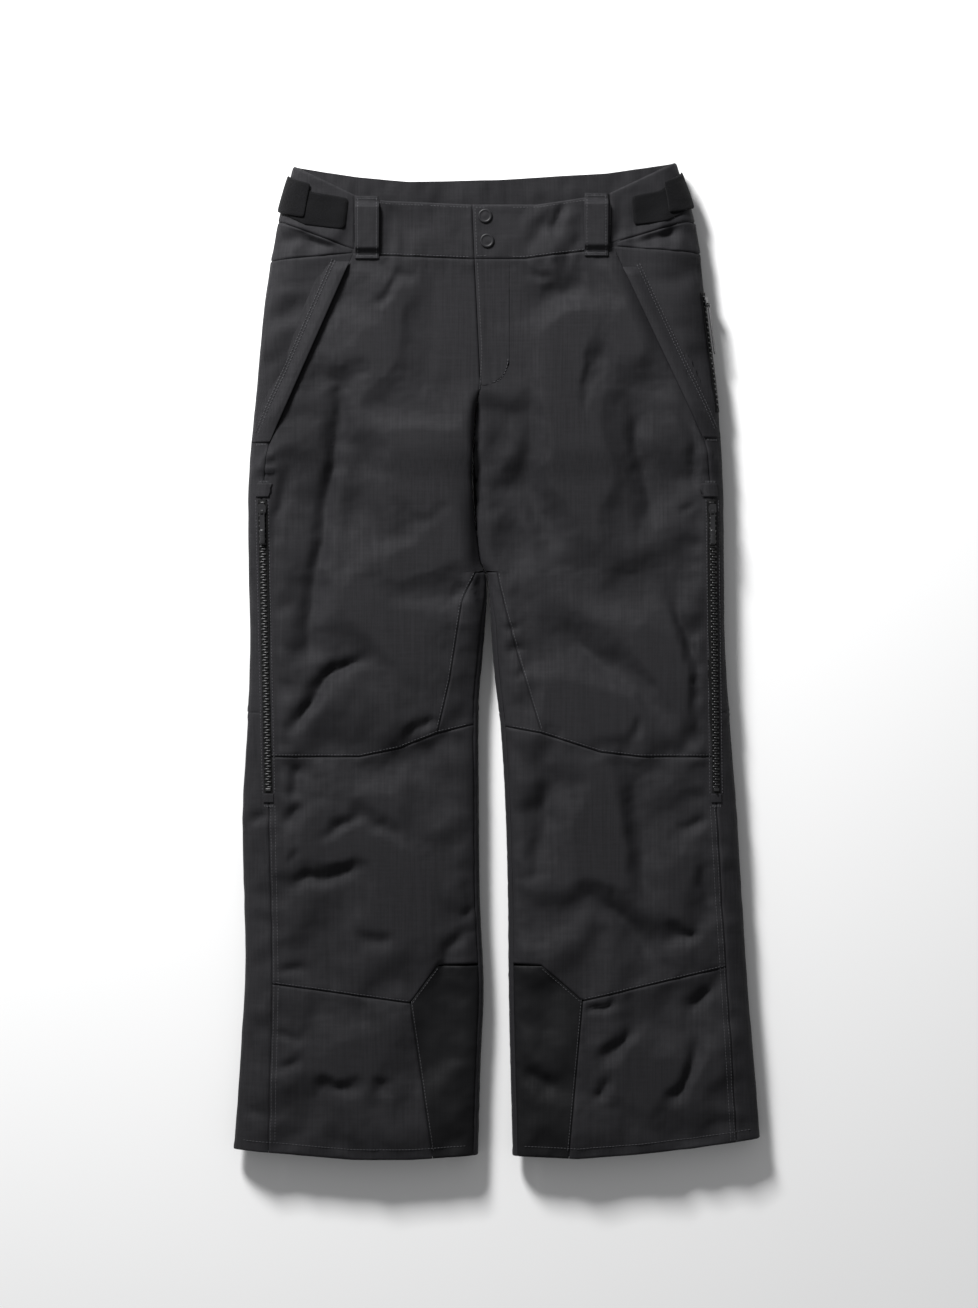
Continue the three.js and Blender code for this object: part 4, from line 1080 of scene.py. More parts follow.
class PANTS_OT_settle(bpy.types.Operator):
    """Lets the loose top sheet settle between its seams, for creases that are not drawn"""
    bl_idname = "pants.settle"
    bl_label = "Settle the cloth"

    def execute(self, context):
        scene = context.scene
        # ten times full size, so that the solver works well above its smallest lengths
        x, y = np.meshgrid(np.arange(-SHEET_X, SHEET_X + 1, SHEET_GRID),
                           np.arange(-SHEET_Y, SHEET_Y + 1, SHEET_GRID))
        h, gx, gy = drawn_relief()
        start = sampled(np.minimum(h, 7.0) * calm(gx, gy), x, y)
        mesh = bpy.data.meshes.new("top_sheet")
        mesh.from_pydata((np.stack([x, y, start], -1).reshape(-1, 3) / 100).tolist(), [], quads(0, *x.shape).tolist())
        sheet = bpy.data.objects.new("top_sheet", mesh)
        scene.collection.objects.link(sheet)
        held = sheet.vertex_groups.new(name="held")
        weight = np.round((1 - free_cloth(x, y)).reshape(-1) * 20)
        for k in range(1, 21):
            held.add(np.flatnonzero(weight == k).tolist(), k / 20, "REPLACE")
        cloth = sheet.modifiers.new("cloth", "CLOTH")
        a = cloth.settings
        a.vertex_group_mass, a.pin_stiffness, a.quality, a.mass = "held", 1.0, 6, 0.15
        a.tension_stiffness = a.compression_stiffness = 15
        a.shear_stiffness, a.bending_stiffness = 5, 4.0
        a.tension_damping = a.compression_damping = a.shear_damping = 5
        a.bending_damping, a.shrink_min, a.effector_weights.gravity = 0.5, -context.scene.pants_sizes.looseness, 0
        cloth.collision_settings.use_collision = False
        cloth.point_cache.frame_start, cloth.point_cache.frame_end = 1, 24
        for f in range(1, SETTLE_FRAMES + 1):
            scene.frame_set(f)
        done = sheet.evaluated_get(context.evaluated_depsgraph_get())
        co = np.zeros(len(done.data.vertices) * 3, np.float32)
        done.data.vertices.foreach_get("co", co)
        moved = co.reshape(*x.shape, 3)[..., 2] * 100 - start
        bpy.data.objects.remove(sheet)
        bpy.data.meshes.remove(mesh)
        scene.frame_set(1)
        if not np.isfinite(moved).all():
            raise RuntimeError("the cloth did not settle")
        moved = np.round(MOST_MOVE * np.tanh(moved / MOST_MOVE), 2)
        fx = (np.clip(gx, -SHEET_X, SHEET_X) + SHEET_X) / SHEET_GRID
        fy = (np.clip(gy, -SHEET_Y, SHEET_Y) + SHEET_Y) / SHEET_GRID
        i, j = np.minimum(fx.astype(int), x.shape[1] - 2), np.minimum(fy.astype(int), x.shape[0] - 2)
        tx, ty = fx - i, fy - j
        fine = mix(mix(moved[j, i], moved[j, i + 1], tx), mix(moved[j + 1, i], moved[j + 1, i + 1], tx), ty)
        for _ in range(5):
            for axis in (0, 1):
                fine = (np.roll(fine, 1, axis) + 2 * fine + np.roll(fine, -1, axis)) / 4
        _relief.pop("h", None)
        _relief["settled"] = fine * calm(gx, gy)
        return {"FINISHED"}


class PANTS_OT_leg_panels(bpy.types.Operator):
    """Builds the outer panels of both legs and the seat"""
    bl_idname = "pants.leg_panels"
    bl_label = "Leg and seat panels"

    def execute(self, context):
        for s in SIDES:
            self.front(s)
            self.back(s)
        return {"FINISHED"}

    def front(self, s):
        half, cross = SEAM / 2, CROSS / 2
        side, front = seam_u(s, s.side), seam_u(s, s.front)
        side_in = shifted(s, side, -half)
        inseam = shifted(s, INSEAM, half)
        knee_up = lambda x, u: s.knee(x) + cross
        middle = lambda y: u_at(s, np.where(s.dir > 0, np.maximum(s.inner(y) + 34, s.front(np.minimum(y, 90)) + 18),
                                            np.minimum(s.inner(y) - 34, s.front(np.minimum(y, 90)) - 18)), y)
        # beside the fly there is no seam on the hinged side
        open_edge = lambda x, y: np.where(y > 296, 0.0 if s.dir > 0 else 0.7, 0.5)
        obj = cloth_panel(f"front_thigh_{s.name}",
                          [patch(s, [shifted(s, front, half), middle, side_in], (-85, 426), knee_up,
                                 lambda x, u: WAIST_SEAM(x) - half, close_at=((92, 99, 15), (285, 313, 20)))],
                          ridges=(0.3, 0.3, lambda x, y: np.where(y > 285, 0.0, 0.3), 0.3),
                                  dips=(0.7, 0.7, open_edge, 0.5))
        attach(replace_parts(obj, f"front_thigh_panel_{s.name}"), "seat")
        obj = cloth_panel(f"gusset_{s.name}", [patch(s, [inseam, shifted(s, front, -half)], (-72, 93.4), knee_up,
                None)])
        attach(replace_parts(obj, f"inner_thigh_gusset_{s.name}"), "seat")
        obj = cloth_panel(f"knee_panel_{s.name}", [patch(
            s, [inseam, side_in], (-342, -85), lambda x, u: s.shin(x) + cross, lambda x, u: s.knee(x) - cross)])
        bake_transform(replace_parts(obj, f"knee_panel_upper_{s.name}", f"knee_panel_lower_{s.name}"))
        scuff, low = seam_u(s, s.scuff), seam_u(s, s.scuff_low)
        hem = lambda x, u: s.hem(x)
        obj = cloth_panel(f"shin_panel_{s.name}_cloth", [patch(s, [shifted(s, low, half), side_in], (-520, -345), hem,
                                                               lambda x, u: s.shin(x) - cross)])
        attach(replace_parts(obj, f"shin_panel_{s.name}"), f"shin_{s.name}")
        obj = cloth_panel(f"scuff_patch_{s.name}_cloth", [patch(s, [inseam, shifted(s, scuff, -half)],
                (-522, -320.8), hem, None)],
                          ridges=(0.4, 0.2, 0.4, 0.2), colour="scuff")
        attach(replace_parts(obj, f"scuff_patch_{s.name}"), f"shin_{s.name}")

    def back(self, s):
        half, cross = SEAM / 2, CROSS / 2
        side_out = shifted(s, seam_u(s, s.side), half)

        def inseam_back(y):
            u = INSEAM(y)
            return np.where(u > 0, 6 + along(s, u, y, -half), along(s, 5.99, y, -half))

        under = [side_out, flat(3), flat(4), flat(5), inseam_back]

        def outside(table):
            return lambda x, u: np.where(u < 3, table(x), table(s.outer(table(x))))

        obj = cloth_panel(f"back_thigh_{s.name}", [patch(s, under, (-54.3, 426), None,
                                                         lambda x, u: outside(s.seat)(x, u) - half, pitch=4.6)],
                          dips=(0.15, 0.5, 0.5, 0.5))
        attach(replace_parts(obj, f"back_thigh_panel_{s.name}"), "seat")
        obj = cloth_panel(f"back_leg_{s.name}", [patch(s, under, (-520, -54.32), lambda x, u: s.hem(x), None,
                pitch=4.6)],
                          dips=(0.3, 0.15, 0.5, 0.5))
        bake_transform(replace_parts(obj, f"back_knee_panel_{s.name}", f"back_calf_panel_{s.name}"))
        start = shifted(s, lambda y: u_at(s, s.side(429), y), 1)
        obj = cloth_panel(f"back_yoke_{s.name}_cloth", [patch(
            s, [start, flat(3), flat(4), flat(6)], (425, 458), lambda x, u: outside(s.seat)(x, u) + half,
            lambda x, u: outside(s.band_low)(x, u) - cross)])
        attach(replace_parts(obj, f"back_yoke_{s.name}"), "seat")


class PANTS_OT_waistband(bpy.types.Operator):
    """Builds the waistband: two front lengths and the back one"""
    bl_idname = "pants.waistband"
    bl_label = "Waistband"

    def execute(self, context):
        half = SEAM / 2
        low, high = (lambda x, u: WAIST_SEAM(x) + half), (lambda x, u: FRONT_TOP(x))
        starts = {"left": lambda y: u_at(LEFT, OVERLAP(y) - SEAM, y),
                "right": lambda y: u_at(RIGHT, FLY_HINGE + SEAM + 0 * y, y)}
        for s in SIDES:
            end = (lambda s: lambda y: u_at(s, s.band_end - s.dir * half + 0 * y, y))(s)
            obj = cloth_panel(f"waistband_front_{s.name}_cloth",
                    [patch(s, [starts[s.name], end], (426, 484), low, high)],
                              ridges=(0.3, 0.5, 0.3 if s.dir < 0 else 0.0, 0.3),
                                      dips=(0.7, 0.6, 0.7 if s.dir < 0 else 0.0, 0.6))
            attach(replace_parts(obj, f"waistband_front_{s.name}"), "seat")
        halves = []
        for s in SIDES:
            end = (lambda s: lambda y: u_at(s, s.band_end + s.dir * half + 0 * y, y))(s)
            lo = (lambda s: lambda x, u: np.where(u < 3, s.band_low(x), s.band_low(s.outer(462))) + CROSS / 2)(s)
            hi = (lambda s: lambda x, u: np.where(u < 3, SIDE_TOP[s.name](x), BACK_TOP(x)))(s)
            halves.append(patch(s, [end, flat(3), flat(4), flat(6)], (460, 520), lo, hi))
        s, u, y = halves[1]
        halves[1] = (s, u[:, ::-1], y[:, ::-1])
        obj = cloth_panel("waistband_back_cloth", halves, ridges=(0.3, 0.5, 0.3, 0.3))
        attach(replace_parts(obj, "waistband_back"), "seat")
        return {"FINISHED"}


def flat_piece(name, rows, left_edge, right_edge, top, thickness, colour="shell", ridges=(0.3, 0.3, 0.3, 0.3),
               dips=(0.6, 0.6, 0.7, 0.0), pitch=2.6):
    """A cloth piece on the level front between two edges, given as functions of y."""
    y = rows[0] + spaced(rows[1] - rows[0], pitch, (0, 0.7, 1.5, 2.8)) * (rows[1] - rows[0])
    a = spaced(max(8.0, float(right_edge(y[-1]) - left_edge(y[-1]))), pitch, (0, 0.7, 1.5, 2.8))
    aa, yy = np.meshgrid(a, y)
    x = mix(left_edge(yy), right_edge(yy), aa)
    base = np.stack([x, yy, np.full(x.shape, float(top))], -1)
    h = sampled(relief(), x, yy)
    roll, turn, _ = turned_edges(base, ridges, dips)
    off = h + roll + turn
    outer, inner = base.copy(), base.copy()
    outer[..., 2] += off
    inner[..., 2] += h - thickness
    points = np.concatenate([outer.reshape(-1, 3), inner.reshape(-1, 3)])
    obj = mesh_object(name, points, outward(points, slab_faces(*x.shape)), rim=rim_corners(*x.shape),
                      rest=np.concatenate([base.reshape(-1, 3), base.reshape(-1, 3) + [0, 0, 400]]))
    finish(obj, colour)
    return obj


class PANTS_OT_fly(bpy.types.Operator):
    """Builds the fly: overlap, cover, underlap and the covered zip"""
    bl_idname = "pants.fly"
    bl_label = "Fly"

    def execute(self, context):
        obj = flat_piece("waistband_overlap_cloth", (423.1, 480), OVERLAP, lambda y: FLY_HINGE + 0.3 + 0 * y,
                TRUNK_DEPTH, 1.7,
                         ridges=(0.2, 0.4, 0.4, 0.0))
        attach(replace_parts(obj, "waistband_overlap"), "fly_flap")
        right = lambda y: np.where(y < 315, TOE(y), FLY_HINGE) + 0.3
        obj = flat_piece("fly_cover_cloth", (290.2, 422.6), OVERLAP, right, TRUNK_DEPTH, 1.7,
                ridges=(0.0, 0.2, 0.5, 0.0),
                         dips=(0.0, 0.7, 0.7, 0.0))
        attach(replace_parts(obj, "fly_cover"), "fly_flap")
        self.channel("fly_underlap_cloth", "fly_underlap", "lining")
        self.channel("fly_zip_tape", "fly_zip_chain", "tape")
        teeth = []
        lo, hi = (np.array(v) * 1000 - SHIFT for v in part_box("fly_zip_chain"))
        pitch = context.scene.pants_sizes.tooth_pitch * 450
        top = 34 - 2 - 5 + 0.3 + 0.9 + 0.8
        for i in range(int((hi[1] - lo[1] - 6) / pitch)):
            y = lo[1] + 3 + i * pitch
            d = 1 if i % 2 else -1
            teeth.append(tooth((-9 + d * 0.9, y, top + 0.05), (1, 0, 0), (0, 1, 0), (0, 0, 1), (2.6, pitch * 0.7, 0.4)))
        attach(finish(joined("fly_zip_teeth", teeth), "teeth"), "seat")
        return {"FINISHED"}

    def channel(self, name, cad, kind):
        """The channel-shaped layer under the flap, its section swept in fine steps with softened corners."""
        node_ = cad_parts[cad]
        co = np.array([v.co for v in node_.data.vertices]) * 1000 - SHIFT
        lo, hi = co.min(0), co.max(0)
        low, x = 34 - 2 - 5, -9
        if kind == "tape":
            t = 0.9
            loop = [(x - 35, 31.7), (x - 23, 31.7), (x - 8, low + 0.3 + t), (x - 3, low + 0.3 + t),
                    (x - 3, low + 0.3 + t + 0.8),
                    (x + 3, low + 0.3 + t + 0.8), (x + 3, low + 0.3 + t), (x + 8, low + 0.3 + t), (x + 19, 31.7),
                            (x + 31, 31.7),
                    (x + 31, 31.7 - t), (x + 19.5, 31.7 - t), (x + 8.5, low + 0.3), (x - 8.5, low + 0.3),
                    (x - 23.5, 31.7 - t), (x - 35, 31.7 - t)]
        else:
            under, th = 32 - 0.6 - 0.9, 1.2
            loop = [(x - 52, 31.7), (x - 38, 31.7), (x - 36, under), (x - 24, under), (x - 9, low), (x + 14, low),
                    (x + 14, low - th), (x - 9.3, low - th), (x - 24.3, under - th), (x - 36.4, under - th),
                    (x - 38.4, 31.7 - th), (x - 52, 31.7 - th)]
        loop = rounded(loop, 3, 1.2 if kind != "tape" else 0.35)
        steps = 60
        prof = np.array(loop)
        ys = np.linspace(lo[1], hi[1], steps + 1)
        n = len(prof)
        p = np.zeros((steps + 1, n, 3))
        p[..., 0], p[..., 2] = prof[:, 0], prof[:, 1]
        p[..., 1] = ys[:, None]
        faces = [[i * n + j, i * n + (j + 1) % n, (i + 1) * n + (j + 1) % n,
                (i + 1) * n + j] for i in range(steps) for j in range(n)]
        faces = [list(f) for f in outward(p, faces)]
        ends = [list(range(n))[::-1], list(range(steps * n, steps * n + n))]
        if faces[0][0] != 0:
            ends = [e[::-1] for e in ends]
        obj = mesh_object(name, p.reshape(-1, 3), faces + ends)
        finish(obj, kind)
        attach(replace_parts(obj, cad), "seat")


def tooth(p, ax, ay, az, size):
    """A small moulded tooth with a narrower top."""
    ax, ay, az = (np.array(v, float) for v in (ax, ay, az))
    w, d, h = size
    points = []
    for z, k in ((0.0, 1.0), (0.65, 0.94), (1.0, 0.62)):
        for sx, sy in ((-1, -1), (1, -1), (1, 1), (-1, 1)):
            points.append(np.array(p, float) + ax * sx * w / 2 * k + ay * sy * d / 2 * k + az * z * h)
    faces = [[3, 2, 1, 0], [8, 9, 10, 11]]
    for r in (0, 4):
        for k in range(4):
            faces.append([r + k, r + (k + 1) % 4, r + 4 + (k + 1) % 4, r + 4 + k])
    return np.array(points), faces


def zip_teeth(s, path, count, width, lift, height, name, pitch):
    """Two interlocking rows of teeth along a path over the cloth."""
    shapes = []
    for i in range(count):
        t = (i + 0.5) / count
        x, y = path(t)
        u = float(u_at(s, x, y))
        ua = float(along(s, u, y, (0.95 if i % 2 else -0.95)))
        p = surface(s, ua, y, lift + float(fold_height(s, u, y)))
        q = surface(s, u_at(s, *path(min(1, t + 0.3 / count))), path(min(1, t + 0.3 / count))[1])
        r = surface(s, u_at(s, *path(max(0, t - 0.3 / count))), path(max(0, t - 0.3 / count))[1])
        d = (q - r) / max(1e-9, np.linalg.norm(q - r))
        n = surface(s, ua, y, 1.0) - surface(s, ua, y)
        n = n - d * (n @ d)
        n = n / np.linalg.norm(n)
        shapes.append(tooth(p, np.cross(d, n), d, n, (width, pitch * 0.5 * 0.6, height)))
    return finish(joined(name, shapes), "teeth")


def tape_profile(width, low, high, bead):
    """A zip tape's section: thin cloth with a raised bead beside the teeth."""
    w = width / 2
    return rounded([(-w, low), (w, low), (w, high - 0.25), (bead + 0.6, high - 0.2), (bead, high), (-bead, high),
                    (-bead - 0.6, high - 0.2), (-w, high - 0.25)], 2, 0.2)


class PANTS_OT_zips(bpy.types.Operator):
    """Builds the side vent zips, the thigh pocket's zip and the hoods over the vents' tops"""
    bl_idname = "pants.zips"
    bl_label = "Vent and thigh zips"

    def execute(self, context):
        pitch = context.scene.pants_sizes.tooth_pitch * 1000
        for s in SIDES:
            path = lambda t, s=s: (float(s.side(mix(170, -143, t))), mix(170, -143, t))
            obj = swept(f"vent_zip_tape_{s.name}", s, path, tape_profile(8.6, 0.25, 1.05, 2.5), 100, "tape")
            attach(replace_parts(obj, f"vent_zip_chain_{s.name}"), "seat")
            inner = lambda t, s=s: (float(s.side(mix(168, -134, t))), mix(168, -134, t))
            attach(zip_teeth(s, inner, int(302 / pitch * 2), 5.0, 0.95, 0.8, f"vent_zip_teeth_{s.name}", pitch),
                    "seat")
            stop = lambda t, s=s: (float(s.side(mix(-134, -137, t))), mix(-134, -137, t))
            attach(finish(swept(f"vent_zip_stop_{s.name}", s, stop,
                    rounded([(-2.6, 0.9), (2.6, 0.9), (2.6, 2.1), (-2.6, 2.1)], 3, 0.5), 4, None), "teeth"), "seat")
            end = lambda t, s=s: (float(s.side(mix(-139.5, -149, t))), mix(-139.5, -149, t))
            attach(swept(f"vent_end_patch_{s.name}", s, end,
                    rounded([(-5.4, 0.5), (5.4, 0.5), (5.0, 1.25), (-5.0, 1.25)], 3, 0.4), 8), "seat")
            hood = lambda t, s=s: (float(s.side(mix(187, 172.6, t))), mix(187, 172.6, t))
            obj = swept(f"vent_hood_{s.name}", s, hood, rounded([(-6.6, 0.3), (6.6, 0.3), (6.4, 1.2), (3.4, 1.75),
                    (-3.4, 1.75), (-6.4, 1.2)], 3, 0.8), 10)
            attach(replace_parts(obj, f"vent_zip_garage_{s.name}"), "seat")
        s = RIGHT
        y0, y1 = 388, 262
        path = lambda t: (float(surface(s, 2.8, mix(y0, y1, t))[0]), mix(y0, y1, t))
        obj = swept("thigh_pocket_zip_tape", s, path, tape_profile(8.4, 0.25, 1.05, 2.5), 40, "tape", follow=False)
        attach(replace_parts(obj, "thigh_pocket_zip_chain"), "seat")
        inner = lambda t: (float(surface(s, 2.8, mix(385, 266, t))[0]), mix(385, 266, t))
        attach(zip_teeth(s, inner, int(119 / pitch * 2), 4.6, 0.95, 0.75, "thigh_pocket_zip_teeth", pitch), "seat")
        return {"FINISHED"}


def welt_height(t):
    """How high a pocket's welt stands along its length: level over the zip, easing down at the ends."""
    return 0.2 + 0.8 * float(smoothstep(-0.02, 0.05, t) * (1 - smoothstep(0.78, 1.0, t)))


class PANTS_OT_pockets(bpy.types.Operator):
    """Builds the slanted hand pockets: welt flap, covered zip and bag"""
    bl_idname = "pants.pockets"
    bl_label = "Hand pockets"
    WELT = rounded([(27, -0.5), (27, 0.0), (23, 0.55), (16, 2.6), (9.5, 5.4), (5.5, 6.45), (0.5, 6.3), (-0.4, 5.75),
                    (0.3, 5.2), (8.4, 5.2), (9.6, 3.4), (10.6, -0.3)], 4, 1.4)

    def execute(self, context):
        for s in SIDES:
            a, b = s.pocket
            run = lambda t, a=a, b=b: (mix(a[0], b[0], t), mix(a[1], b[1], t))
            welt = lambda t, run=run: run(mix(0.03, 0.985, t))
            obj = swept(f"hand_pocket_welt_{s.name}", s, welt, self.WELT, 90, "shell", follow=False, scale=welt_height)
            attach(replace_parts(obj, f"hand_pocket_flap_{s.name}"), "seat")
            zip_at = lambda t, run=run, s=s: (run(t)[0] + 4.8 * s.dir, run(t)[1])
            tape = lambda t, z=zip_at: z(mix(0.05, 0.93, t))
            obj = swept(f"hand_pocket_tape_{s.name}", s, tape, tape_profile(6.0, 0.25, 1.05, 2.2), 50, "tape",
                    follow=False)
            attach(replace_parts(obj, f"hand_pocket_zip_chain_{s.name}"), "seat")
            pitch = context.scene.pants_sizes.tooth_pitch * 500
            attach(zip_teeth(s, lambda t, z=zip_at: z(mix(0.06, 0.92, t)), int(185 / pitch * 2), 2.4, 0.95, 0.6,
                              f"hand_pocket_teeth_{s.name}", pitch), "seat")
            d, x0, x1 = s.dir, s.pocket[0][0], s.pocket[1][0]
            corners = [(x1 - d * 118, 246), (x1 - d * 21, 272), (x0 - d * 4, 414), (x0 - d * 62, 404)]
            self.bag(s, corners)
        return {"FINISHED"}

    def bag(self, s, corners):
        a, b = np.meshgrid(np.linspace(0, 1, 26), np.linspace(0, 1, 36))
        c = [(float(u_at(s, x, y)), y) for x, y in corners]
        u, y = (mix(mix(c[0][k], c[1][k], a), mix(c[3][k], c[2][k], a), b) for k in (0, 1))
        x = surface(s, u, y)[..., 0]
        h = -0.25 + 0.2 * ripple(x, y, 28, 41)
        soft = sampled(relief(), x, y)
        rise = np.minimum(soft, 0)
        outer = surface(s, u, y, -FABRIC - 0.35 + rise + h * 0.6)
        inner = surface(s, u, y, -FABRIC - 1.75 + rise + h * 0.6)
        points = np.concatenate([outer.reshape(-1, 3), inner.reshape(-1, 3)])
        obj = mesh_object(f"hand_pocket_lining_{s.name}", points, outward(points, slab_faces(*u.shape)))
        finish(obj, "lining")
        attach(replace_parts(obj, f"hand_pocket_bag_{s.name}"), "seat")


class PANTS_OT_allowances(bpy.types.Operator):
    """Backs the corners where several seams meet with folded seam allowance"""
    bl_idname = "pants.allowances"
    bl_label = "Seam allowances"

    def execute(self, context):
        for s in SIDES:
            start = (s.band_end + float(s.side(429)) + s.dir) / 2
            bend = -228 if s.dir < 0 else 197
            for name, x, low, high in (("waist", start, s.seat, s.band_low), ("tab", bend, s.band_low, s.band_low)):
                y0, y1 = float(low(x)) - 7, float(high(x)) + 7
                path = lambda t, x=x, y0=y0, y1=y1: (x, mix(y0, y1, t))
                obj = swept(f"allowance_{name}_{s.name}", s, path,
                        rounded([(-7, -1.5), (7, -1.5), (7, -0.5), (-7, -0.5)], 2, 0.3), 12)
                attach(obj, "seat")
        return {"FINISHED"}


class PANTS_OT_waist_tabs(bpy.types.Operator):
    """Builds the hook-and-loop waist tabs and the patches under them"""
    bl_idname = "pants.waist_tabs"
    bl_label = "Waist tabs"

    def execute(self, context):
        for s in SIDES:
            obj = self.pad(f"loop_pad_{s.name}", s, s.patch, 0.3, 1.6, "pile")
            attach(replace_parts(obj, f"loop_patch_{s.name}"), "seat")
            obj = self.pad(f"waist_tab_pad_{s.name}", s, s.tab, 2.25, 3.5, "hooks")
            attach(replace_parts(obj, f"hook_tab_{s.name}"), f"waist_tab_{s.name}")
        return {"FINISHED"}

    def pad(self, name, s, corners, low, high, kind):
        """A thin pad with round corners: the grid's corners are drawn in along the diagonal."""
        c = [(a, y) if abs(a) < 4 else (float(u_at(s, a, y)), y) for a, y in corners]
        n, m = 40, 22
        a, b = np.meshgrid(np.linspace(-1, 1, n), np.linspace(-1, 1, m))
        k = 0.03
        ra, rb = a * (1 - k * (np.abs(b) ** 8) * np.abs(a) ** 3), b * (1 - 1.6 * k * (np.abs(a) ** 8) * np.abs(b) ** 3)
        a, b = (ra + 1) / 2, (rb + 1) / 2
        u, y = (mix(mix(c[0][i], c[1][i], a), mix(c[3][i], c[2][i], a), b) for i in (0, 1))
        h = fold_height(s, u, y) * 0.8
        p = surface(s, u, y)
        e = np.min(edge_distances(p), 0)
        top = high + h - 0.45 * (1 - smoothstep(0, 1.6, e)) ** 2 + 0.06 * ripple(p[..., 0], y, 9, 51)
        outer, inner = surface(s, u, y, top), surface(s, u, y, low + h)
        points = np.concatenate([outer.reshape(-1, 3), inner.reshape(-1, 3)])
        return finish(mesh_object(name, points, outward(points, slab_faces(*u.shape))), kind)


class PANTS_OT_belt_loops(bpy.types.Operator):
    """Builds the two wide belt loops, folded straps sewn down at both ends"""
    bl_idname = "pants.belt_loops"
    bl_label = "Belt loops"

    def execute(self, context):
        for s in SIDES:
            cx, cy = s.loop
            h, w, z0, gap, t = 33.0, 12.5, TRUNK_DEPTH + 0.3, 5.0, 1.5
            ys = np.concatenate([np.linspace(-h, -h + 14, 20), np.linspace(-h + 14, h - 14, 16)[1:-1],
                    np.linspace(h - 14, h, 20)])
            rise = gap * smoothstep(-h + 5, -h + 12.5, ys) * (1 - smoothstep(h - 12.5, h - 5, ys))
            rise = rise * (1 - 0.05 * np.cos(ys / h * math.pi))
            loop = [(x, z) for x, z in rounded([(-w, 0), (w, 0), (w, t), (-w, t)], 4, 0.7)]
            dense = []
            for (x0, z0_), (x1, z1) in zip(loop, loop[1:] + loop[:1]):
                steps = 10 if abs(x1 - x0) > 5 else 1
                for k in range(steps):
                    dense.append((mix(x0, x1, k / steps), mix(z0_, z1, k / steps)))
            prof = np.array(dense)
            n = len(prof)
            p = np.zeros((len(ys), n, 3))
            p[..., 0] = cx + prof[:, 0][None] * (1 + 0.012 * np.sin(ys / 9.0))[:, None]
            p[..., 1] = cy + ys[:, None]
            top = (prof[:, 1] > t / 2)[None]
            crown = 0.35 * (1 - (prof[:, 0] / w) ** 2)[None] * top
            edge = 0.22 * np.exp(-(((np.abs(prof[:, 0]) - w + 2.6) / 1.2) ** 2))[None] * top
            wave = 0.12 * ripple(p[..., 0], p[..., 1], 14, 61 + s.dir) * top
            p[..., 2] = z0 + rise[:, None] + prof[:, 1][None] + crown + edge + wave
            faces = [[i * n + j, i * n + (j + 1) % n, (i + 1) * n + (j + 1) % n, (i + 1) * n + j]
                     for i in range(len(ys) - 1) for j in range(n)]
            faces = [list(f) for f in outward(p, faces)]
            ends = [list(range(n))[::-1], list(range((len(ys) - 1) * n, len(ys) * n))]
            if faces[0][0] != 0:
                ends = [e[::-1] for e in ends]
            obj = finish(mesh_object(f"belt_loop_{s.name}_strap", p.reshape(-1, 3), faces + ends), "shell")
            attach(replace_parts(obj, f"belt_loop_{s.name}"), "seat")
            self.sew(cx, cy, h, w, z0, t)
        return {"FINISHED"}

    def sew(self, cx, cy, h, w, z0, t):
        """Rows of stitches along the strap's edges and bars across its sewn ends."""
        sizes = bpy.context.scene.pants_sizes
        r = sizes.thread * 500
        rows = []
        for x in (-w + 2.6, w - 2.6):
            y = -h + 4
            while y < h - 4:
                g = 5.0 * float(smoothstep(-h + 5, -h + 12.5, y) * (1 - smoothstep(h - 12.5, h - 5, y)))
                g2 = 5.0 * float(smoothstep(-h + 5, -h + 12.5, y + 1) * (1 - smoothstep(h - 12.5, h - 5, y + 1)))
                d = np.array([0, 1, g2 - g])
                d = d / np.linalg.norm(d)
                n = np.cross([1, 0, 0], d)
                rows.append(capsule(np.array([cx + x, cy + y, z0 + g + t + 0.42]), d, n, 2.4, r))
                y += 3.4
        for end in (-1, 1):
            for k in (1.5, 2.9):
                x = -w + 1.5
                while x < w - 1.0:
                    rows.append(capsule(np.array([cx + x, cy + end * (h - k), z0 + t + 0.3]), np.array([1.0, 0.15, 0]),
                                        np.array([0, 0, 1.0]), 1.5, r))
                    x += 1.5
        _stitches.setdefault("seat", []).extend(rows)


class PANTS_OT_snaps(bpy.types.Operator):
    """Builds the two fly snaps: dished caps on the flap, studs behind"""
    bl_idname = "pants.snaps"
    bl_label = "Snaps"

    def execute(self, context):
        r = context.scene.pants_sizes.snap_diameter * 500
        under = TRUNK_DEPTH - FABRIC
        for name in ("upper", "lower"):
            lo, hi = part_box(f"snap_cap_{name}")
            centre = [(lo[i] + hi[i]) * 500 - SHIFT[i] for i in (0, 1)]
            z, top = under - 1.8, TRUNK_DEPTH + 0.15
            cap = [(0, z), (5.2, z), (5.5, z + 0.3), (5.5, z + 1.2), (5.2, z + 1.5), (2.2, z + 1.5), (2.2, top),
                    (r - 0.5, top),
                   (r - 0.1, top + 0.25), (r, top + 0.6), (r - 0.1, top + 1.1), (r - 0.45, top + 1.55),
                           (r - 1.0, top + 1.8),
                   (r - 1.6, top + 1.85), (r - 2.1, top + 1.65), (r - 2.5, top + 1.42), (r - 3.2, top + 1.4),
                   (2.4, top + 1.55), (1.2, top + 1.62), (0, top + 1.64)]
            obj = finish(lathe(f"snap_cap_{name}_dished", centre, cap, 56), "snap")
            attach(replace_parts(obj, f"snap_cap_{name}"), "fly_flap")
            base = under - 4.7
            stud = [(0, base), (4.3, base), (4.5, base + 0.2), (4.5, base + 0.65), (4.2, base + 0.85),
                    (2.3, base + 0.9),
                    (1.75, base + 1.15), (1.7, base + 1.4), (2.0, base + 1.75), (1.95, base + 2.1), (1.5, base + 2.45),
                    (0.9, base + 2.58), (0, base + 2.6)]
            obj = finish(lathe(f"snap_stud_{name}_turned", centre, stud, 40), "snap")
            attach(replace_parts(obj, f"snap_stud_{name}"), "seat")
        return {"FINISHED"}


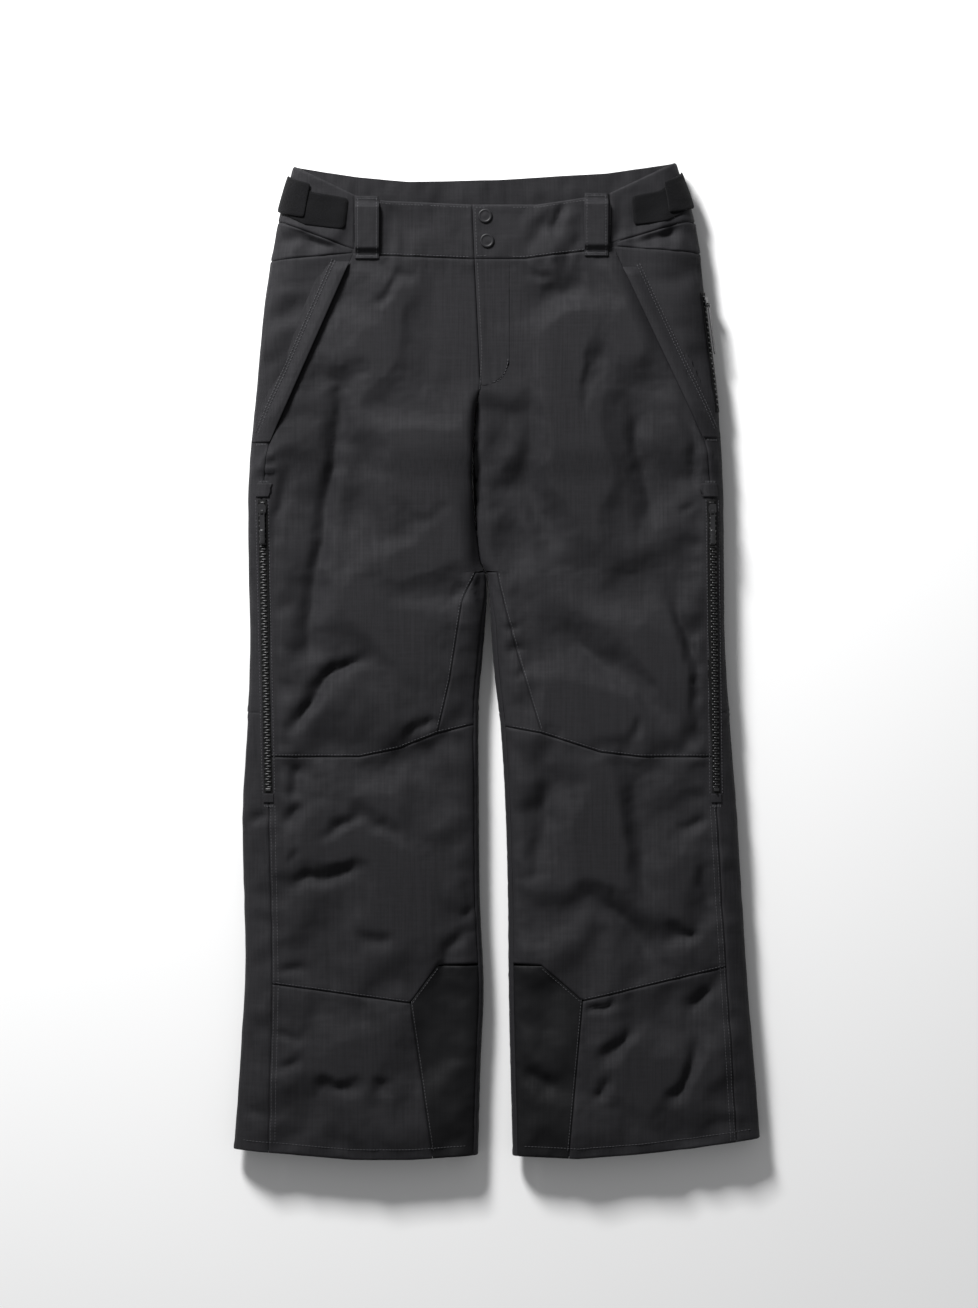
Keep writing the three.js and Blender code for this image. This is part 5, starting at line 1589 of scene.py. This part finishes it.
class PANTS_OT_sliders(bpy.types.Operator):
    """Finishes the sliders and pulls, and adds the moulded grips of the long pulls"""
    bl_idname = "pants.sliders"
    bl_label = "Sliders and pulls"

    def execute(self, context):
        for name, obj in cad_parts.items():
            if name.endswith("_slider"):
                finish(obj, "slider")
            elif name.endswith("_pull"):
                finish(obj, "pull")
        for side in ("left", "right"):
            self.grip(f"vent_{side}_pull", f"vent_pull_{side}", 0.45)
        return {"FINISHED"}

    def grip(self, cad, body, share):
        """A soft moulded grip round the far end of a long pull, with a waist and cross ribs."""
        co = np.array([v.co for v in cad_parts[cad].data.vertices]) * 1000 - SHIFT
        lo, hi = co.min(0), co.max(0)
        low = co[co[:, 1] < lo[1] + 2].mean(0)
        up = co[co[:, 1] > hi[1] - 2].mean(0)
        d = (up - low) / np.linalg.norm(up - low)
        z = np.array([0, 0, 1.0])
        z = z - d * (z @ d)
        z = z / np.linalg.norm(z)
        x = np.cross(d, z)
        total = float(np.linalg.norm(up - low))
        length_ = total * share
        steps, sides = 26, 14
        points, faces = [], []
        for i in range(steps + 1):
            t = i / steps
            along_ = -0.9 + t * (length_ + 0.9)
            ends = min(1.0, math.sqrt(max(0.0, 1 - (1 - min(t, 1 - t) / 0.09) ** 2)) if min(t, 1 - t) < 0.09 else 1.0)
            ends = max(0.28, ends)
            wide = (3.1 - 0.5 * math.sin(math.pi * t)) * ends
            thick = (1.25 + 0.12 * math.cos(t * 2 * math.pi * 8) * (0.15 < t < 0.7)) * ends
            for k in range(sides):
                a = 2 * math.pi * k / sides
                ca, sa = math.cos(a), math.sin(a)
                sq = (abs(ca) ** 3 + abs(sa) ** 3) ** (-1 / 3)
                points.append(low + d * along_ + x * ca * sq * wide + z * sa * sq * thick)
        for i in range(steps):
            for k in range(sides):
                a, b = i * sides + k, i * sides + (k + 1) % sides
                faces.append([a, b, b + sides, a + sides])
        faces = [list(f) for f in outward(points, faces)]
        ends = [list(range(sides))[::-1], list(range(steps * sides, steps * sides + sides))]
        if faces[0][0] != 0:
            ends = [e[::-1] for e in ends]
        obj = finish(mesh_object(cad + "_grip", np.array(points), faces + ends), "pull")
        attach(obj, body)


class PANTS_OT_stitching(bpy.types.Operator):
    """Sews the topstitching: seams, fly, pockets, zips, waistband and hems"""
    bl_idname = "pants.stitching"
    bl_label = "Stitching"

    def execute(self, context):
        far = context.scene.pants_sizes.topstitch * 1000
        for s in SIDES:
            d = s.dir
            stitch(s, seam_line(s.side, -505, -152, -2.2 * d))
            stitch(s, seam_line(s.side, -505, -152, -far * d))
            stitch(s, seam_line(s.side, -140, 170, -6.6 * d))
            stitch(s, seam_line(s.side, -140, 170, 6.4 * d))
            stitch(s, seam_line(s.front, -72, 92, 2.0 * d), lift=0.35)
            stitch(s, cross_line(s.knee, s.inner(-80) + d * 12, s.side(-100) - d * 4, 2.2), lift=0.4)
            stitch(s, cross_line(s.shin, s.scuff(s.scuff_top) + d * 2, s.side(-335) - d * 3, 2.2), lift=0.4)
            stitch(s, seam_line(s.scuff_low, -516, s.scuff_top + 2, -2.0 * d), lift=0.35)
            stitch(s, seam_line(s.scuff, s.scuff_top + 1, -322, -2.2 * d), lift=0.35)
            x0, x1 = s.inner(-515) + d * 12, s.outer(-505) - d * 9
            stitch(s, cross_line(s.hem, x0, x1, 11.0))
            a, b = s.pocket
            ux, uy = b[0] - a[0], b[1] - a[1]
            n = math.hypot(ux, uy)
            nx, ny = -uy / n, ux / n
            if nx * d < 0:
                nx, ny = -nx, -ny
            for off, high in ((14.5, 3.05), (17.5, 2.15)):
                stitch(s, lambda t, off=off, nx=nx, ny=ny: (mix(a[0], b[0], mix(0.05, 0.97, t)) + nx * off,
                                                            mix(a[1], b[1], mix(0.05, 0.97, t)) + ny * off),
                       extra=lambda t, high=high: high * welt_height(mix(0.02, 1.0, t)), flat_base=True)
            bartack(s, b[0] + nx * 8, b[1] + ny * 8 - 2.5, 0 if d > 0 else 180, 11)
            bartack(s, float(s.side(-151)), -152.5, 0, 10, "seat")
            bartack(s, float(s.side(188.5)), 188.5, 0, 11)
        ends = {"left": (-148, -30), "right": (16, 116)}
        for s in SIDES:
            x0, x1 = ends[s.name]
            stitch(s, cross_line(WAIST_SEAM, x0, x1, 2.2), lift=0.4)
            stitch(s, cross_line(FRONT_TOP, x0, x1, -3.0), lift=0.4)
        stitch(LEFT, lambda t: (float(OVERLAP(mix(419, 292, t))) + 3.0, mix(419, 292, t)), "fly_flap", lift=0.35)
        # the toe of the fly is sewn round in a short hook
        stitch(RIGHT, lambda t: (-6 + 17 * math.cos(t * 1.5), 318 - 25 * math.sin(t * 1.5)), "seat", lift=0.35)
        bartack(LEFT, -15.5, 290, 70, 9, "seat")
        stitch(LEFT, lambda t: (mix(-23.5, 10, t), 477.0), "fly_flap", lift=0.35)
        stitch(LEFT, lambda t: (mix(-22.0, 10, t), 426.0), "fly_flap", lift=0.35)
        stitch(LEFT, lambda t: (mix(-23.6, -21.6, t), mix(476, 427, t)), "fly_flap", lift=0.35)
        for key, shapes in _stitches.items():
            obj = finish(joined(f"stitches_{key}", shapes), "thread")
            if key.startswith("leg_"):
                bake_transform(obj)
            else:
                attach(obj, key)
        return {"FINISHED"}


class PANTS_OT_stage(bpy.types.Operator):
    """Sets the pale floor, the soft light and the camera"""
    bl_idname = "pants.stage"
    bl_label = "Floor, light and camera"

    def execute(self, context):
        scene = context.scene
        size = 60.0
        mesh = bpy.data.meshes.new("floor")
        mesh.from_pydata([(-size, -size, -0.0006), (size, -size, -0.0006), (size, size, -0.0006),
                (-size, size, -0.0006)], [], [(0, 1, 2, 3)])
        floor = bpy.data.objects.new("floor", mesh)
        scene.collection.objects.link(floor)
        base = tuple(scene.pants_colours.floor)
        m, t, p = new_material("floor", base, Roughness=0.9, Specular_IOR_Level=0.1)
        mixer = node(t, "ShaderNodeMix", data_type="RGBA")
        mixer.inputs["A"].default_value = tone(base, 0.99)
        mixer.inputs["B"].default_value = tone(base, 1.0)
        t.links.new(noise(t, object_position(t, 1.0), 2.0), mixer.inputs["Factor"])
        t.links.new(mixer.outputs["Result"], p.inputs["Base Color"])
        mesh.materials.append(m)
        world = bpy.data.worlds.new("studio")
        world.use_nodes = True
        world.node_tree.nodes["Background"].inputs["Color"].default_value = (0.985, 0.99, 1.0, 1)
        world.node_tree.nodes["Background"].inputs["Strength"].default_value = 0.28
        scene.world = world
        self.softbox("key_light", (-1.05, 2.05, 1.4), (0, 0, 0), 0.6, 146)
        cam = bpy.data.objects.new("camera", bpy.data.cameras.new("camera"))
        scene.collection.objects.link(cam)
        cam.data.lens = 150
        cam.data.sensor_width = 36
        seen = 1.376
        cam.location = (-0.0089 + SHIFT[0] / 1000, 0.0074 + SHIFT[1] / 1000, 0.03 + seen / 36 * 150)
        cam.rotation_euler = (0, 0, 0)
        cam.data.clip_end = 100
        scene.camera = cam
        scene.view_settings.view_transform = "Standard"
        scene.view_settings.look = "None"
        return {"FINISHED"}

    def softbox(self, name, where, towards, size, power):
        light = bpy.data.lights.new(name, "AREA")
        light.energy, light.size = power, size
        obj = bpy.data.objects.new(name, light)
        bpy.context.scene.collection.objects.link(obj)
        obj.location = where
        obj.rotation_mode = "QUATERNION"
        obj.rotation_quaternion = (Vector(where) - Vector(towards)).to_track_quat("Z", "Y")


class PANTS_PT_panel(bpy.types.Panel):
    """Lists the sizes, the colours and the making steps"""
    bl_label = "Ski Pants"
    bl_space_type = "VIEW_3D"
    bl_region_type = "UI"
    bl_category = "Ski Pants"

    def draw(self, context):
        layout = self.layout
        for group_ in (context.scene.pants_sizes, context.scene.pants_colours):
            for key in group_.__annotations__:
                layout.prop(group_, key)
        for op in OPERATORS:
            layout.operator(op.bl_idname)


OPERATORS = (PANTS_OT_settle, PANTS_OT_leg_panels, PANTS_OT_waistband, PANTS_OT_fly, PANTS_OT_zips,
        PANTS_OT_pockets, PANTS_OT_allowances, PANTS_OT_waist_tabs,
             PANTS_OT_belt_loops, PANTS_OT_snaps, PANTS_OT_sliders, PANTS_OT_stitching, PANTS_OT_stage)
CLASSES = (PantsSizes, PantsColours) + OPERATORS + (PANTS_PT_panel,)


def register():
    for c in CLASSES:
        bpy.utils.register_class(c)
    bpy.types.Scene.pants_sizes = bpy.props.PointerProperty(type=PantsSizes)
    bpy.types.Scene.pants_colours = bpy.props.PointerProperty(type=PantsColours)


def unregister():
    del bpy.types.Scene.pants_colours
    del bpy.types.Scene.pants_sizes
    for c in reversed(CLASSES):
        bpy.utils.unregister_class(c)


def main():
    register()
    bpy.ops.pants.settle()
    bpy.ops.pants.leg_panels()
    bpy.ops.pants.waistband()
    bpy.ops.pants.fly()
    bpy.ops.pants.zips()
    bpy.ops.pants.pockets()
    bpy.ops.pants.allowances()
    bpy.ops.pants.waist_tabs()
    bpy.ops.pants.belt_loops()
    bpy.ops.pants.snaps()
    bpy.ops.pants.sliders()
    bpy.ops.pants.stitching()
    bpy.ops.pants.stage()


if __name__ == "__main__":
    main()
